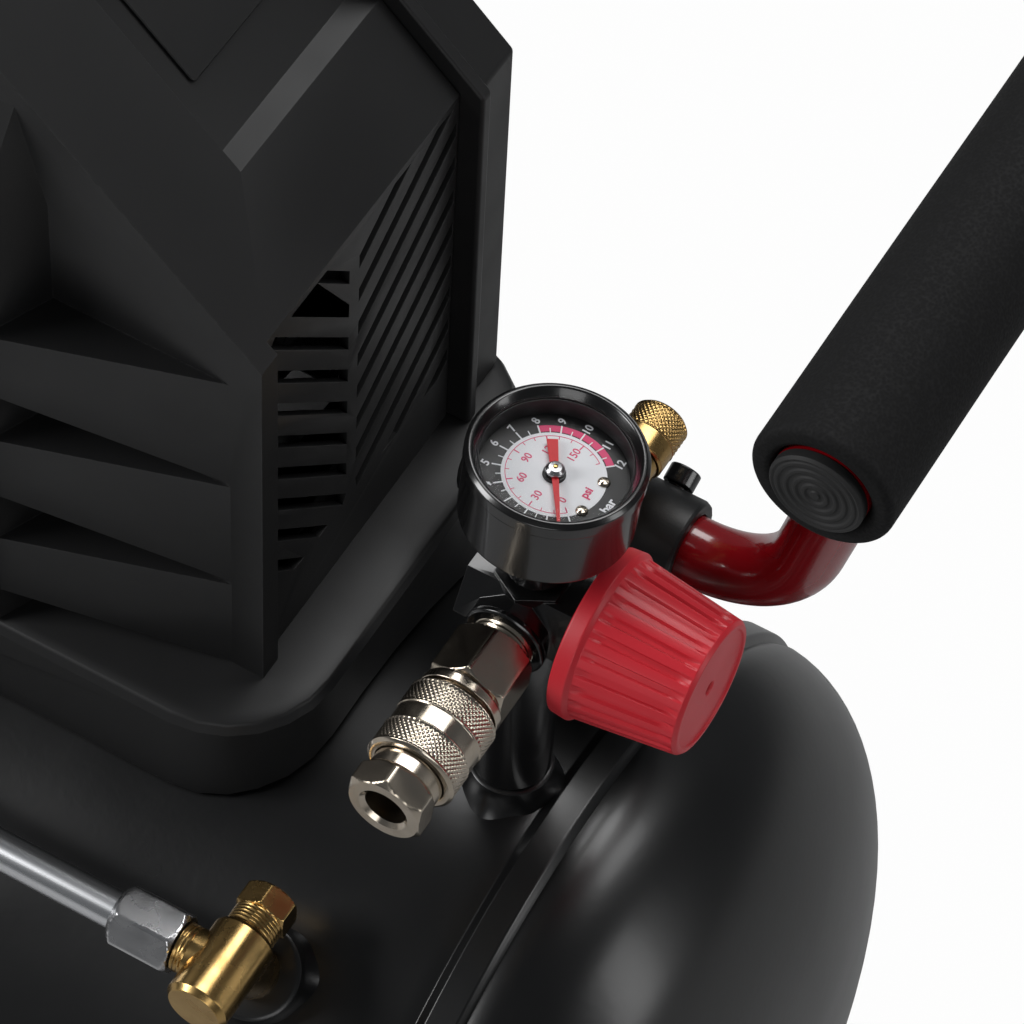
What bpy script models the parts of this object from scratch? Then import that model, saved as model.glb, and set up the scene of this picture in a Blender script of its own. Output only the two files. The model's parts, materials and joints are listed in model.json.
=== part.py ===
"""Portable 24 litre direct-drive air compressor, as separate working pieces.

The frame stands on the ground: +Z is up, +X runs along the tank towards the handle, and -Y is the
side that the operator faces. Every size below is in millimetres, and is turned into metres where a
mesh is made. Most places are given from the middle of the outlet manifold, which carries the gauge.
"""

import math

import bmesh
import bpy
from mathutils import Matrix, Vector

MM = 0.001
GAP = 0.3                       # running gap between pieces that touch
ROUNDNESS = 0.6                 # share of a lathe piece's nominal facets that is modelled

# Outlet manifold: the middle of its ports
PORT = (168.1, 0.0, 400.0)
PORT_TOP = 12.0

# Tank
TANK_R = 130.0
TANK_Z = 190.0
TANK_WALL = 3.0
TANK_STEPS = 52
TANK_LEFT = -380.0              # seams, from the manifold
TANK_RIGHT = 20.0
DOME = 60.0
DOME_POWER = 0.8
SEAM_WIDTH = 9.0
SEAM_HEIGHT = 1.4

# Fittings on the tank
RISER_X = -3.0
VALVE = (-33.0, -88.0, -75.0)
TUBE_X = -155.0
DRAIN_X = -60.0

# Outlet group
PORT_FLATS = 22.0
PORT_BORE = 4.0
PORT_FACE = 14.0
GAUGE_R = 21.3
GAUGE_FLOOR = 32.7
SAFETY_END = 63.5
CLAMP_X = 5.5
CLAMP_TILT = math.radians(20.0)
GAUGE_LEAN = (0.045, 0.078, 0.996)  # the way the gauge points: it leans back in its port
BEZEL_BORE = 18.4
DIAL_R = 19.5
GAUGE_TOP = 57.2
NEEDLE_HEADING = math.radians(-56.8)
NEEDLE_REACH = 16.0
KNOB_FLANGE_R = 22.2
KNOB_R = 21.0
KNOB_NOSE_R = 17.5
KNOB_END = 49.0
SLEEVE_R = 11.8
NOSE_END = -69.8

# Handle
HANDLE_Y = 52.0
SOCKET_Z = -29.5
STEM_R = 9.0
STEM_WALL = 2.0
STEM_BEND_X = 18.0
STEM_BEND_R = 31.0
STEM_ANGLE = math.radians(77.0)
BAR_R = 11.0
BAR_Z = 162.0
BAR_NEAR = -46.0
BAR_FAR = 150.0
FOAM_R = 17.0

# Cowl over the pump
COWL_RIGHT = -62.0
COWL_LEFT = -312.0
COWL_BASE = -53.2
COWL_EAVE = 72.0
COWL_RUN = 85.0
COWL_RISE = 80.0
COWL_FRONT = -23.0
COWL_SPLIT = 71.2
COWL_BACK = 93.0
COWL_WALL = 2.6
FLANGE_SIDE = 3.5               # proud of the upright walls
FLANGE_SHOULDER = 5.4           # proud of the shoulders and the roof
FLANGE_THICK = 4.1
SIDE_RECESS = 3.0               # the louvred walls stand back from the front corners
RECESS_START = -16.0
PLINTH_OUT = 15.0
PLINTH_FRONT = -44.0
PLINTH_BACK = 100.0
PLINTH_TOP = -53.5
PLINTH_CORNER = 30.0
FIN_PITCH = 40.6
FIN_TOP = 62.0
FIN_COUNT = 3
FIN_BAND = 22.0                 # upright face under each fin's lip
FIN_TIP_X = -68.0
FIN_ROOT_X = -119.0
FIN_LIP = (-128.0, -41.5)
COLUMN_FRONT = -43.0            # raised middle of the front wall
COLUMN_TOP = 96.0
COLUMN_FADE = 128.0
PANEL_LOW = 35.0                # sunk shoulder panel, measured up the shoulder from the eave
PANEL_HIGH = 102.0
PANEL_STEP = 5.0
PANEL_DEPTH = 4.5
PANEL_FRONT = 9.0
LOUVRE_PITCH = 12.8
LOUVRE_SLOT = 4.9
LOUVRE_FLOOR = -32.0
LOUVRE_MARGIN = 2.5
LOUVRES_FRONT = (-14.6, 21.0, math.radians(-48.0))
LOUVRES_BACK = (25.5, 70.4, math.radians(33.0))
GRILLE_SLOTS = 8
GRILLE_PITCH = 18.0
GRILLE_SLOT = 7.0

# Pump and motor
SWITCH = (-205.0, 30.0, 70.0)
GLAND = (-250.0, PLINTH_BACK, -70.0)
CASE_TOP = 45.0
BASE_Z = -46.0
SHAFT_Y = 33.0
SHAFT_Z = 5.0
CRANK_X = -155.0
THROW = 9.0
STROKE = 2.0 * THROW
PIN_R = 11.0
BORE_R = 21.0

# Running gear
WHEEL_R = 72.0
WHEEL_X = -355.0
WHEEL_IN = 126.0
WHEEL_WIDTH = 34.0
FOOT_X = -5.0
FOOT_Y = 75.0

LOOKS = {
    "tank_black": ((0.012, 0.012, 0.013), 0.25, 0.0),
    "cowl_black": ((0.020, 0.021, 0.022), 0.55, 0.0),
    "satin_black": ((0.015, 0.015, 0.016), 0.38, 0.0),
    "gauge_black": ((0.010, 0.010, 0.011), 0.20, 0.0),
    "knob_red": ((0.400, 0.020, 0.032), 0.42, 0.0),
    "stem_red": ((0.300, 0.006, 0.012), 0.15, 0.0),
    "needle_red": ((0.650, 0.015, 0.020), 0.40, 0.0),
    "nickel": ((0.620, 0.560, 0.480), 0.25, 1.0),
    "brass": ((0.600, 0.380, 0.130), 0.30, 1.0),
    "bright_steel": ((0.600, 0.600, 0.600), 0.30, 1.0),
    "aluminium": ((0.700, 0.700, 0.710), 0.35, 1.0),
    "cast_iron": ((0.120, 0.120, 0.125), 0.60, 1.0),
    "foam_black": ((0.014, 0.014, 0.015), 0.85, 0.0),
    "rubber": ((0.018, 0.018, 0.019), 0.75, 0.0),
    "dial_white": ((0.850, 0.850, 0.840), 0.45, 0.0),
    "lens": ((0.900, 0.930, 0.950), 0.05, 0.0),
}


def clear_scene():
    for item in list(bpy.data.objects):
        bpy.data.objects.remove(item, do_unlink=True)


def look(name):
    """The Principled material of that name, made once."""
    found = bpy.data.materials.get(name)
    if found is not None:
        return found
    colour, roughness, metallic = LOOKS[name]
    material = bpy.data.materials.new(name)
    material.use_nodes = True
    shader = material.node_tree.nodes["Principled BSDF"]
    shader.inputs["Base Color"].default_value = (*colour, 1.0)
    shader.inputs["Roughness"].default_value = roughness
    shader.inputs["Metallic"].default_value = metallic
    return material


def place(x=0.0, y=0.0, z=0.0):
    """A point in metres, from millimetres relative to the manifold."""
    return Vector((PORT[0] + x, PORT[1] + y, PORT[2] + z)) * MM


def add_mesh(name, bm, finish, at=(0.0, 0.0, 0.0), along=(0.0, 0.0, 1.0), smooth=True):
    """An object from a bmesh in millimetres, its local +Z turned to `along` and moved to `at`."""
    bmesh.ops.recalc_face_normals(bm, faces=bm.faces[:])
    bmesh.ops.scale(bm, vec=(MM, MM, MM), verts=bm.verts[:])
    mesh = bpy.data.meshes.new(name)
    bm.to_mesh(mesh)
    bm.free()
    mesh.materials.append(look(finish))
    if smooth:
        mesh.shade_smooth()
        mesh.set_sharp_from_angle(angle=math.radians(35.0))
    item = bpy.data.objects.new(name, mesh)
    bpy.context.scene.collection.objects.link(item)
    item.location = place(*at)
    item.rotation_mode = "QUATERNION"
    item.rotation_quaternion = Vector((0.0, 0.0, 1.0)).rotation_difference(Vector(along).normalized())
    return item


def turned(name, profile, finish, at=(0.0, 0.0, 0.0), along=(0.0, 0.0, 1.0), steps=32):
    """A lathe piece: (radius, height) points spun about local Z, and closed on themselves or the axis."""
    steps = max(8, 2 * round(steps * ROUNDNESS / 2.0))
    bm = bmesh.new()
    verts = [bm.verts.new((r, 0.0, h)) for r, h in profile]
    edges = [bm.edges.new(pair) for pair in zip(verts, verts[1:])]
    if profile[0][0] > 0.0 or profile[-1][0] > 0.0:
        edges.append(bm.edges.new((verts[-1], verts[0])))
    bmesh.ops.spin(bm, geom=verts + edges, cent=(0, 0, 0), axis=(0, 0, 1), angle=math.tau, steps=steps)
    bmesh.ops.remove_doubles(bm, verts=bm.verts[:], dist=1e-3)
    return add_mesh(name, bm, finish, at, along)


def prism(name, outline, low, high, finish, at=(0.0, 0.0, 0.0), plane="XY", smooth=False):
    """An outline in one plane, extruded from `low` to `high` along the plane's normal."""
    def lift(u, v, w):
        return {"XY": (u, v, w), "XZ": (u, w, v), "YZ": (w, u, v)}[plane]
    bm = bmesh.new()
    base = bm.faces.new([bm.verts.new(lift(u, v, low)) for u, v in outline])
    grown = bmesh.ops.extrude_face_region(bm, geom=[base])["geom"]
    tops = [g for g in grown if isinstance(g, bmesh.types.BMVert)]
    bmesh.ops.translate(bm, vec=lift(0.0, 0.0, high - low), verts=tops)
    return add_mesh(name, bm, finish, at, smooth=smooth)


def block(name, low, high, finish, at=(0.0, 0.0, 0.0)):
    """A box between two corners."""
    outline = [(low[0], low[1]), (high[0], low[1]), (high[0], high[1]), (low[0], high[1])]
    return prism(name, outline, low[2], high[2], finish, at)


def polygon(sides, across, turn=0.0):
    """A regular polygon's outline from its width across flats."""
    radius = across / 2.0 / math.cos(math.pi / sides)
    angles = [turn + math.tau * (k + 0.5) / sides for k in range(sides)]
    return [(radius * math.cos(a), radius * math.sin(a)) for a in angles]


def rounded_rectangle(low, high, radius, steps=6):
    """Outline of a rectangle whose corners are arcs."""
    corners = ((high[0], high[1], 0), (low[0], high[1], 1), (low[0], low[1], 2), (high[0], low[1], 3))
    points = []
    for x, y, quarter in corners:
        cx = x - math.copysign(radius, x - (low[0] + high[0]) / 2.0)
        cy = y - math.copysign(radius, y - (low[1] + high[1]) / 2.0)
        for k in range(steps + 1):
            a = math.pi / 2.0 * (quarter + k / steps)
            points.append((cx + radius * math.cos(a), cy + radius * math.sin(a)))
    return points


def hexagon_bar(name, across, low, high, finish, at=(0.0, 0.0, 0.0), along=(0.0, 0.0, 1.0)):
    """A hexagonal bar with small chamfers at both ends."""
    bm = bmesh.new()
    base = bm.faces.new([bm.verts.new((u, v, low)) for u, v in polygon(6, across)])
    grown = bmesh.ops.extrude_face_region(bm, geom=[base])["geom"]
    tops = [g for g in grown if isinstance(g, bmesh.types.BMVert)]
    bmesh.ops.translate(bm, vec=(0.0, 0.0, high - low), verts=tops)
    return add_mesh(name, bm, finish, at, along, smooth=False)


def bent_path(points, radius, steps=5):
    """A polyline whose inner corners are replaced by arcs of one radius."""
    path = [Vector(points[0])]
    for before, corner, after in zip(points, points[1:], points[2:]):
        corner = Vector(corner)
        back = (Vector(before) - corner).normalized()
        ahead = (Vector(after) - corner).normalized()
        half = back.angle(ahead) / 2.0
        reach = radius / math.tan(half)
        centre = corner + (back + ahead).normalized() * (radius / math.sin(half))
        start = corner + back * reach - centre
        axis = back.cross(ahead).normalized()
        sweep = -(math.pi - 2.0 * half)
        for k in range(steps + 1):
            path.append(centre + Matrix.Rotation(sweep * k / steps, 3, axis) @ start)
    path.append(Vector(points[-1]))
    return path


def pipe(name, path, radius, finish, sides=4):
    """A round bar along a path of points, with flat ends."""
    curve = bpy.data.curves.new(name, "CURVE")
    curve.dimensions = "3D"
    curve.bevel_depth = radius * MM
    curve.bevel_resolution = sides
    curve.use_fill_caps = True
    spline = curve.splines.new("POLY")
    spline.points.add(len(path) - 1)
    for point, spot in zip(spline.points, path):
        point.co = (*(Vector(spot) * MM), 1.0)
    curve.materials.append(look(finish))
    item = bpy.data.objects.new(name, curve)
    bpy.context.scene.collection.objects.link(item)
    item.location = place()
    return item


def solid_pipe(name, path, radius, finish, sides=4):
    """The same bar as a mesh, so that other pieces can be joined to it or cut from it."""
    source = pipe(f"{name}_path", path, radius, finish, sides)
    source.location = (0.0, 0.0, 0.0)
    mesh = bpy.data.meshes.new_from_object(source)
    bpy.data.objects.remove(source, do_unlink=True)
    bm = bmesh.new()
    bm.from_mesh(mesh)
    bpy.data.meshes.remove(mesh)
    bmesh.ops.remove_doubles(bm, verts=bm.verts[:], dist=1e-6)
    bmesh.ops.scale(bm, vec=(1.0 / MM, 1.0 / MM, 1.0 / MM), verts=bm.verts[:])
    return add_mesh(name, bm, finish)


def combine(item, other, operation):
    """Adds or cuts away another piece with an exact Boolean."""
    other.hide_render = True
    other.display_type = "WIRE"
    step = item.modifiers.new(operation.title(), "BOOLEAN")
    step.operation = operation
    step.object = other


def cut(item, cutter):
    combine(item, cutter, "DIFFERENCE")


def join(item, other):
    combine(item, other, "UNION")


def lathe_cutter(name, radius, low, high, at, along, steps=24):
    """A plain cylinder used to drill or trim."""
    return turned(name, [(0, low), (radius, low), (radius, high), (0, high)], "cast_iron", at, along, steps)


def tank_trim(name):
    """A cylinder a running gap bigger than the tank, which trims what sits on it."""
    low, high = TANK_LEFT - DOME, TANK_RIGHT + DOME
    return lathe_cutter(name, TANK_R + SEAM_HEIGHT + GAP, low, high,
                        (0.0, 0.0, TANK_Z - PORT[2]), (1, 0, 0), 80)


def spring(name, radius, wire, length, turns, finish, at, along):
    """A coil spring as a wire swept along a helix."""
    steps = turns * 8
    frame = Vector((0, 0, 1)).rotation_difference(Vector(along)).to_matrix()
    path = []
    for k in range(steps + 1):
        a = math.tau * turns * k / steps
        spot = Vector((radius * math.cos(a), radius * math.sin(a), length * k / steps))
        path.append(frame @ spot + Vector(at))
    return pipe(name, path, wire, finish, sides=0)


# ---------------------------------------------------------------- tank


def dome_profile(radius, height, end, side):
    """(radius, x) points from a seam to the pole of a dished end."""
    steps = 6
    points = []
    for k in range(1, steps + 1):
        a = math.pi / 2.0 * k / steps
        points.append((radius * max(math.cos(a), 0.0) ** DOME_POWER if k < steps else 0.0,
                       end + side * height * math.sin(a)))
    return points


def tank_profile(radius, height, seams):
    """Half outline of the tank, from its left pole to its right pole."""
    left = dome_profile(radius, height, TANK_LEFT, -1.0)[::-1]
    right = dome_profile(radius, height, TANK_RIGHT, 1.0)
    middle = []
    for end, side in ((TANK_LEFT, 1.0), (TANK_RIGHT, -1.0)):
        if not seams:
            middle.append((radius, end))
            continue
        raised = radius + SEAM_HEIGHT
        band = [(radius, end), (raised, end + side * 1.5), (raised, end + side * SEAM_WIDTH),
                (radius, end + side * (SEAM_WIDTH + 1.5))]
        middle += band if side > 0 else band[::-1]
    return left + middle + right


def tank_shell():
    """Rolled shell with two dished ends, its weld-on bosses, and the bores through them."""
    centre = (0.0, 0.0, TANK_Z - PORT[2])
    shell = turned("tank_shell", tank_profile(TANK_R, DOME, True), "tank_black", centre, (1, 0, 0),
                   TANK_STEPS)
    hollow = turned("tank_hollow", tank_profile(TANK_R - TANK_WALL, DOME - TANK_WALL, False),
                    "tank_black", centre, (1, 0, 0), TANK_STEPS)
    top = TANK_Z + TANK_R - PORT[2]
    riser = turned("riser_boss", [(0, -8), (15, -8), (14, 0), (11, 6), (10.9, 8), (0, 8)],
                   "tank_black", (RISER_X, 0, top), (0, 0, 1), 24)
    valve = turned("valve_boss", [(0, -8), (15, -8), (15, 5), (13, 8), (0, 8)],
                   "tank_black", valve_foot(0.0), valve_leg(), 24)
    drain = turned("drain_boss", [(0, -6), (12, -6), (12, 6), (0, 6)],
                   "tank_black", (DRAIN_X, 0, TANK_Z - TANK_R - PORT[2]), (0, 0, -1), 24)
    for boss in (riser, valve, drain):
        join(shell, boss)
    cut(shell, hollow)
    cut(shell, lathe_cutter("riser_drill", 7.0, -30, 30, (RISER_X, 0, top), (0, 0, 1), 16))
    cut(shell, lathe_cutter("valve_drill", 6.5, -40, 40, valve_foot(0.0), valve_leg(), 16))
    cut(shell, lathe_cutter("drain_drill", 6.6, -30, 30,
                            (DRAIN_X, 0, TANK_Z - TANK_R - PORT[2]), (0, 0, 1), 20))
    return shell


# ---------------------------------------------------------------- outlet group


def valve_leg():
    """Unit vector from the tank's axis out through the check valve."""
    return Vector((0.0, VALVE[1], VALVE[2] - (TANK_Z - PORT[2]))).normalized()


def valve_foot(above):
    """The point on the check valve's leg that is this far above the tank's skin."""
    spot = valve_leg() * (TANK_R + above)
    return (VALVE[0], spot.y, spot.z + TANK_Z - PORT[2])


def riser_pipe():
    top = -13.0 - GAP
    low = TANK_Z + TANK_R - PORT[2] + 8.0 + GAP
    return turned("riser_pipe", [(6.5, low), (10.2, low), (10.2, top), (6.5, top)], "satin_black",
                  (RISER_X, 0, 0), (0, 0, 1), 24)


def manifold():
    """A cross of hexagonal ports, drilled through."""
    item = hexagon_bar("manifold", PORT_FLATS, -15.0, 14.0, "satin_black", along=(1, 0, 0))
    join(item, hexagon_bar("manifold_y", 19.0, -PORT_FACE, PORT_FACE, "satin_black", along=(0, 1, 0)))
    join(item, hexagon_bar("manifold_up", 17.0, 0.0, 12.0, "satin_black"))
    join(item, turned("manifold_down", [(0, -13), (10.5, -13), (10.5, 0), (0, 0)], "satin_black",
                      (RISER_X, 0, 0), steps=24))
    cut(item, lathe_cutter("port_x", PORT_BORE, -10, 30, (0, 0, 0), (1, 0, 0), 12))
    cut(item, lathe_cutter("port_y", PORT_BORE - 0.4, -30, 30, (0, 0, 0), (0, 1, 0), 12))
    cut(item, lathe_cutter("port_z", PORT_BORE - 0.8, -30, 30, (0, 0, 0), (0, 0, 1), 12))
    return item


def gauge_foot():
    """Origin of the gauge's own axis, which crosses the manifold's axis at the top port."""
    return tuple(Vector((0.0, 0.0, PORT_TOP)) - Vector(GAUGE_LEAN).normalized() * PORT_TOP)


def gauge_piece(name, profile, finish, steps=32):
    """A lathe piece on the gauge's leaning axis."""
    return turned(name, profile, finish, gauge_foot(), GAUGE_LEAN, steps)


def gauge():
    neck = PORT_TOP + 0.8 + GAP
    case = gauge_piece("gauge_case", [
        (2.0, neck), (7.5, neck), (7.5, 19.0), (6.0, 20.0), (6.0, GAUGE_FLOOR - 2), (15.0, GAUGE_FLOOR - 1),
        (GAUGE_R, GAUGE_FLOOR + 1), (GAUGE_R, GAUGE_TOP - 5),
        (GAUGE_R - 1.2, GAUGE_TOP - 5), (GAUGE_R - 1.2, GAUGE_FLOOR + 3), (2.0, GAUGE_FLOOR + 3)],
        "gauge_black")
    gauge_piece("gauge_bezel", [
        (BEZEL_BORE, GAUGE_TOP - 5 + GAP), (GAUGE_R + 0.6, GAUGE_TOP - 5 + GAP),
        (GAUGE_R + 0.6, GAUGE_TOP - 1),
        (GAUGE_R - 0.6, GAUGE_TOP), (BEZEL_BORE + 0.8, GAUGE_TOP), (BEZEL_BORE + 0.8, GAUGE_TOP - 2),
        (BEZEL_BORE, GAUGE_TOP - 2.4)],
        "gauge_black")
    gauge_piece("gauge_lens", [(0, GAUGE_TOP - 2.1 + GAP), (BEZEL_BORE + 0.4, GAUGE_TOP - 1.7 + GAP),
                               (BEZEL_BORE + 0.4, GAUGE_TOP - 0.6), (0, GAUGE_TOP - 0.6)], "lens")
    dial = GAUGE_TOP - 8.0
    gauge_piece("gauge_dial", [(2.2, dial - 0.8), (DIAL_R, dial - 0.8), (DIAL_R, dial), (2.2, dial)],
           "dial_white")
    gauge_piece("bourdon_tube", [(11.0, 39.0), (14.0, 39.0), (14.0, 44.0), (11.0, 44.0)], "brass", steps=24)
    return case


def gauge_needle():
    """Pointer on its spindle: a fine tip over zero and a broad counterweight behind."""
    low = GAUGE_TOP - 7.0
    ahead = (math.cos(NEEDLE_HEADING), math.sin(NEEDLE_HEADING))
    side = (-ahead[1], ahead[0])

    def at_reach(reach, half):
        return (ahead[0] * reach + side[0] * half, ahead[1] * reach + side[1] * half)
    halves = [(-10.0, 1.5), (-3.0, 1.1), (0.0, 0.7), (NEEDLE_REACH, 0.25)]
    outline = [at_reach(reach, -half) for reach, half in halves]
    outline += [at_reach(reach, half) for reach, half in halves[::-1]]
    item = prism("gauge_needle", outline, low, low + 0.5, "needle_red")
    item.location = place(*gauge_foot())
    item.rotation_quaternion = Vector((0, 0, 1)).rotation_difference(Vector(GAUGE_LEAN).normalized())
    join(item, gauge_piece("needle_spindle", [(0, 41.0), (1.5, 41.0), (1.5, low + 0.2), (2.1, low + 0.2),
                                              (2.1, low + 1.3), (0, low + 1.3)], "needle_red", 16))
    return item


def regulator():
    first = 14.0 + GAP
    turned("regulator_bonnet", [
        (5.0, first), (15.0, first), (15.0, 15.7), (13.0, 15.7), (13.0, 30.0), (9.0, 30.0), (9.0, 18.0),
        (5.0, 18.0)], "satin_black", along=(1, 0, 0))
    knob = turned("regulator_knob", [
        (13.5, 16.0), (KNOB_FLANGE_R, 16.0), (KNOB_FLANGE_R, 20.0), (KNOB_R, 20.5),
        (KNOB_NOSE_R + 0.6, KNOB_END - 1.2), (KNOB_NOSE_R - 0.8, KNOB_END), (1.6, KNOB_END),
        (1.6, 45.0), (6.0, 45.0), (6.0, 40.0), (13.5, 37.0)], "knob_red", along=(1, 0, 0), steps=36)
    turned("regulator_screw", [(0, 27.5), (8.2, 27.5), (8.2, 29.0), (3.5, 29.0), (3.5, 39.0), (5.7, 40.3),
                               (5.7, 44.7), (0, 44.7)], "bright_steel", along=(1, 0, 0), steps=20)
    spring("regulator_spring", 7.2, 0.8, 6.5, 3, "bright_steel", (19.6, 0, 0), (1, 0, 0))
    return knob


def coupler():
    """Quick coupler: hexagon body, spring sleeve, bored nose, and the valve inside."""
    out = (0, -1, 0)
    body = hexagon_bar("coupler_body", 19.6, 16.0, 33.0, "nickel", along=out)
    join(body, turned("coupler_barrel", [(0, PORT_FACE + GAP), (8.2, PORT_FACE + GAP), (8.2, 17.0),
                                         (9.1, 18.0),
                                         (9.1, 61.0), (0, 61.0)], "nickel", along=out))
    cut(body, lathe_cutter("coupler_bore", 7.2, 22.0, 70.0, (0, 0, 0), out))
    cut(body, lathe_cutter("coupler_inlet", 3.4, 0.0, 70.0, (0, 0, 0), out, 16))
    turned("coupler_sleeve", [(9.4, 37.4), (SLEEVE_R - 0.8, 37.4), (SLEEVE_R, 38.2), (SLEEVE_R, 57.2),
                              (SLEEVE_R - 0.8, 58.0), (9.4, 58.0)], "nickel", along=out, steps=40)
    nose = hexagon_bar("coupler_nose", 19.0, 58.4, -NOSE_END, "nickel", along=out)
    cut(nose, lathe_cutter("nose_seat", 9.4, 50.0, 61.4, (0, 0, 0), out))
    cut(nose, lathe_cutter("nose_bore", 5.5, 55.0, 80.0, (0, 0, 0), out))
    turned("coupler_valve", [(0, 34.0), (5.0, 34.0), (6.8, 36.0), (6.8, 42.0), (0, 42.0)], "brass",
           along=out, steps=20)
    spring("coupler_spring", 5.6, 0.7, 7.0, 3, "bright_steel", (0, -23.2, 0), out)


def safety_valve():
    up = (0, 1, 0)
    body = hexagon_bar("safety_valve", 14.0, PORT_FACE + 1.0, 21.5, "brass", along=up)
    join(body, turned("safety_barrel", [
        (0, PORT_FACE + GAP), (5.5, PORT_FACE + GAP), (5.5, 19.0), (6.4, 21.0), (6.4, SAFETY_END - 14.6),
        (0, SAFETY_END - 14.6)], "brass", along=up, steps=24))
    cut(body, lathe_cutter("safety_bore", 3.0, 6.0, 60.0, (0, 0, 0), up, 16))
    turned("safety_cap", [(0, 32.0), (2.5, 32.0), (2.5, SAFETY_END - 14.2), (7.5, SAFETY_END - 14.2),
                          (7.5, SAFETY_END - 1.0), (6.2, SAFETY_END), (0, SAFETY_END)], "brass",
           along=up, steps=24)


# ---------------------------------------------------------------- handle


def handle_socket():
    """Clamping socket for the handle on a welded plate."""
    socket = turned("handle_socket", [(0, -44.0), (12.5, -44.0), (12.5, 15.0), (11.9, 16.0), (0, 16.0)],
                    "satin_black", (0, HANDLE_Y, SOCKET_Z), (1, 0, 0))
    plate = block("socket_plate", (-34.0, HANDLE_Y - 3.0, -112.0), (6.0, HANDLE_Y + 3.0, SOCKET_Z - 4.0),
                  "satin_black")
    cut(plate, tank_trim("socket_trim"))
    join(socket, plate)
    cut(socket, lathe_cutter("socket_bore", STEM_R + GAP, -60.0, 40.0, (0, HANDLE_Y, SOCKET_Z), (1, 0, 0),
                             32))
    spot = (CLAMP_X, HANDLE_Y, SOCKET_Z)
    out = (0, math.cos(CLAMP_TILT), math.sin(CLAMP_TILT))
    cut(socket, lathe_cutter("clamp_drill", 3.0, 0.0, 40.0, spot, out, 16))
    turned("clamp_screw", [(0, STEM_R + GAP), (2.6, STEM_R + GAP), (2.6, 12.9), (4.2, 12.9), (4.2, 17.2),
                           (3.7, 17.8), (1.9, 17.8), (1.9, 15.2), (0, 15.2)], "satin_black", spot, out, 20)


def stem_path():
    """From the socket along X, round the bend, and up to the crossbar."""
    reach = STEM_BEND_R * math.tan(STEM_ANGLE / 2.0)
    corner = (STEM_BEND_X + reach, HANDLE_Y, SOCKET_Z)
    rise = BAR_Z - SOCKET_Z
    top = (corner[0] + rise / math.tan(STEM_ANGLE), HANDLE_Y, BAR_Z)
    return [(-52.0, HANDLE_Y, SOCKET_Z), corner, top]


def handle():
    path = bent_path(stem_path(), STEM_BEND_R, 8)
    bar_x = path[-1].x
    slope = (path[-1] - path[-2]).normalized()
    weld_end = path[:-1] + [path[-1] - slope * 4.0]
    stem = solid_pipe("handle_frame", weld_end, STEM_R, "stem_red", 4)
    join(stem, lathe_cutter("bar_tube", BAR_R, BAR_NEAR + 2.0, BAR_FAR - 2.0, (bar_x, 0, BAR_Z), (0, 1, 0),
                            32))
    longer = [(-60.0, HANDLE_Y, SOCKET_Z)] + path[1:-1] + [path[-1] - slope * 1.5]
    cut(stem, solid_pipe("stem_hollow", longer, STEM_R - STEM_WALL, "stem_red", 2))
    cut(stem, lathe_cutter("bar_hollow", BAR_R - STEM_WALL, BAR_NEAR - 9.0, BAR_FAR + 9.0,
                           (bar_x, 0, BAR_Z), (0, 1, 0), 32))
    window = lathe_cutter("foam_window", STEM_R + 2 * GAP, -40.0, 0.0, (bar_x, HANDLE_Y, BAR_Z),
                          (math.cos(STEM_ANGLE), 0, math.sin(STEM_ANGLE)), 24)
    foam = turned("grip_foam", [
        (BAR_R + GAP, BAR_NEAR + 1.0), (FOAM_R - 1.2, BAR_NEAR + 1.0), (FOAM_R, BAR_NEAR + 2.2),
        (FOAM_R, BAR_FAR - 2.2), (FOAM_R - 1.2, BAR_FAR - 1.0), (BAR_R + GAP, BAR_FAR - 1.0)],
        "foam_black", (bar_x, 0, BAR_Z), (0, 1, 0), 36)
    cut(foam, window)
    plug_r = BAR_R - STEM_WALL - GAP
    for name, end, side in (("grip_plug_front", BAR_NEAR, 1.0), ("grip_plug_rear", BAR_FAR, -1.0)):
        inner = 2.0 - GAP
        turned(name, [(0, 12.0), (plug_r - 0.6, 12.0), (plug_r, inner), (BAR_R, inner), (BAR_R, -0.4),
                      (BAR_R - 0.8, -1.2), (0, -1.2)], "rubber", (bar_x, end, BAR_Z), (0, side, 0), 32)


# ---------------------------------------------------------------- cowl


def cowl_outline(inset, base):
    """The cowl's section across X: upright sides, two 43 degree shoulders and a flat roof."""
    slope = math.atan2(COWL_RISE, COWL_RUN)
    eave = COWL_EAVE - inset * math.tan(slope / 2.0)
    roof = COWL_EAVE + COWL_RISE - inset
    shift = inset * math.tan(slope / 2.0)
    right, left = COWL_RIGHT - inset, COWL_LEFT + inset
    return [(right, base), (right, eave), (COWL_RIGHT - COWL_RUN - shift, roof),
            (COWL_LEFT + COWL_RUN + shift, roof), (left, eave), (left, base)]


def mirror_x(spots, mirrored):
    """The same spots, or their mirror images about the cowl's middle."""
    if not mirrored:
        return spots
    return [(COWL_LEFT + COWL_RIGHT - spot[0], *spot[1:]) for spot in spots]


def hull(name, spots):
    """The convex solid over some points."""
    bm = bmesh.new()
    for spot in spots:
        bm.verts.new(spot)
    bmesh.ops.convex_hull(bm, input=bm.verts[:])
    return add_mesh(name, bm, "cowl_black", smooth=False)


def cowl_fin(name, top, mirrored):
    """A gill: a flat triangular shelf, an upright band under its lip, and a slope back to the wall."""
    back = COWL_FRONT + 1.0
    low = max(top - FIN_PITCH + 2 * GAP, COWL_BASE)
    spots = [(FIN_TIP_X, back, top), (FIN_ROOT_X, back, top), (*FIN_LIP, top), (*FIN_LIP, top - FIN_BAND),
             (FIN_TIP_X, back, low), (FIN_ROOT_X, back, low)]
    return hull(name, mirror_x(spots, mirrored))


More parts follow.
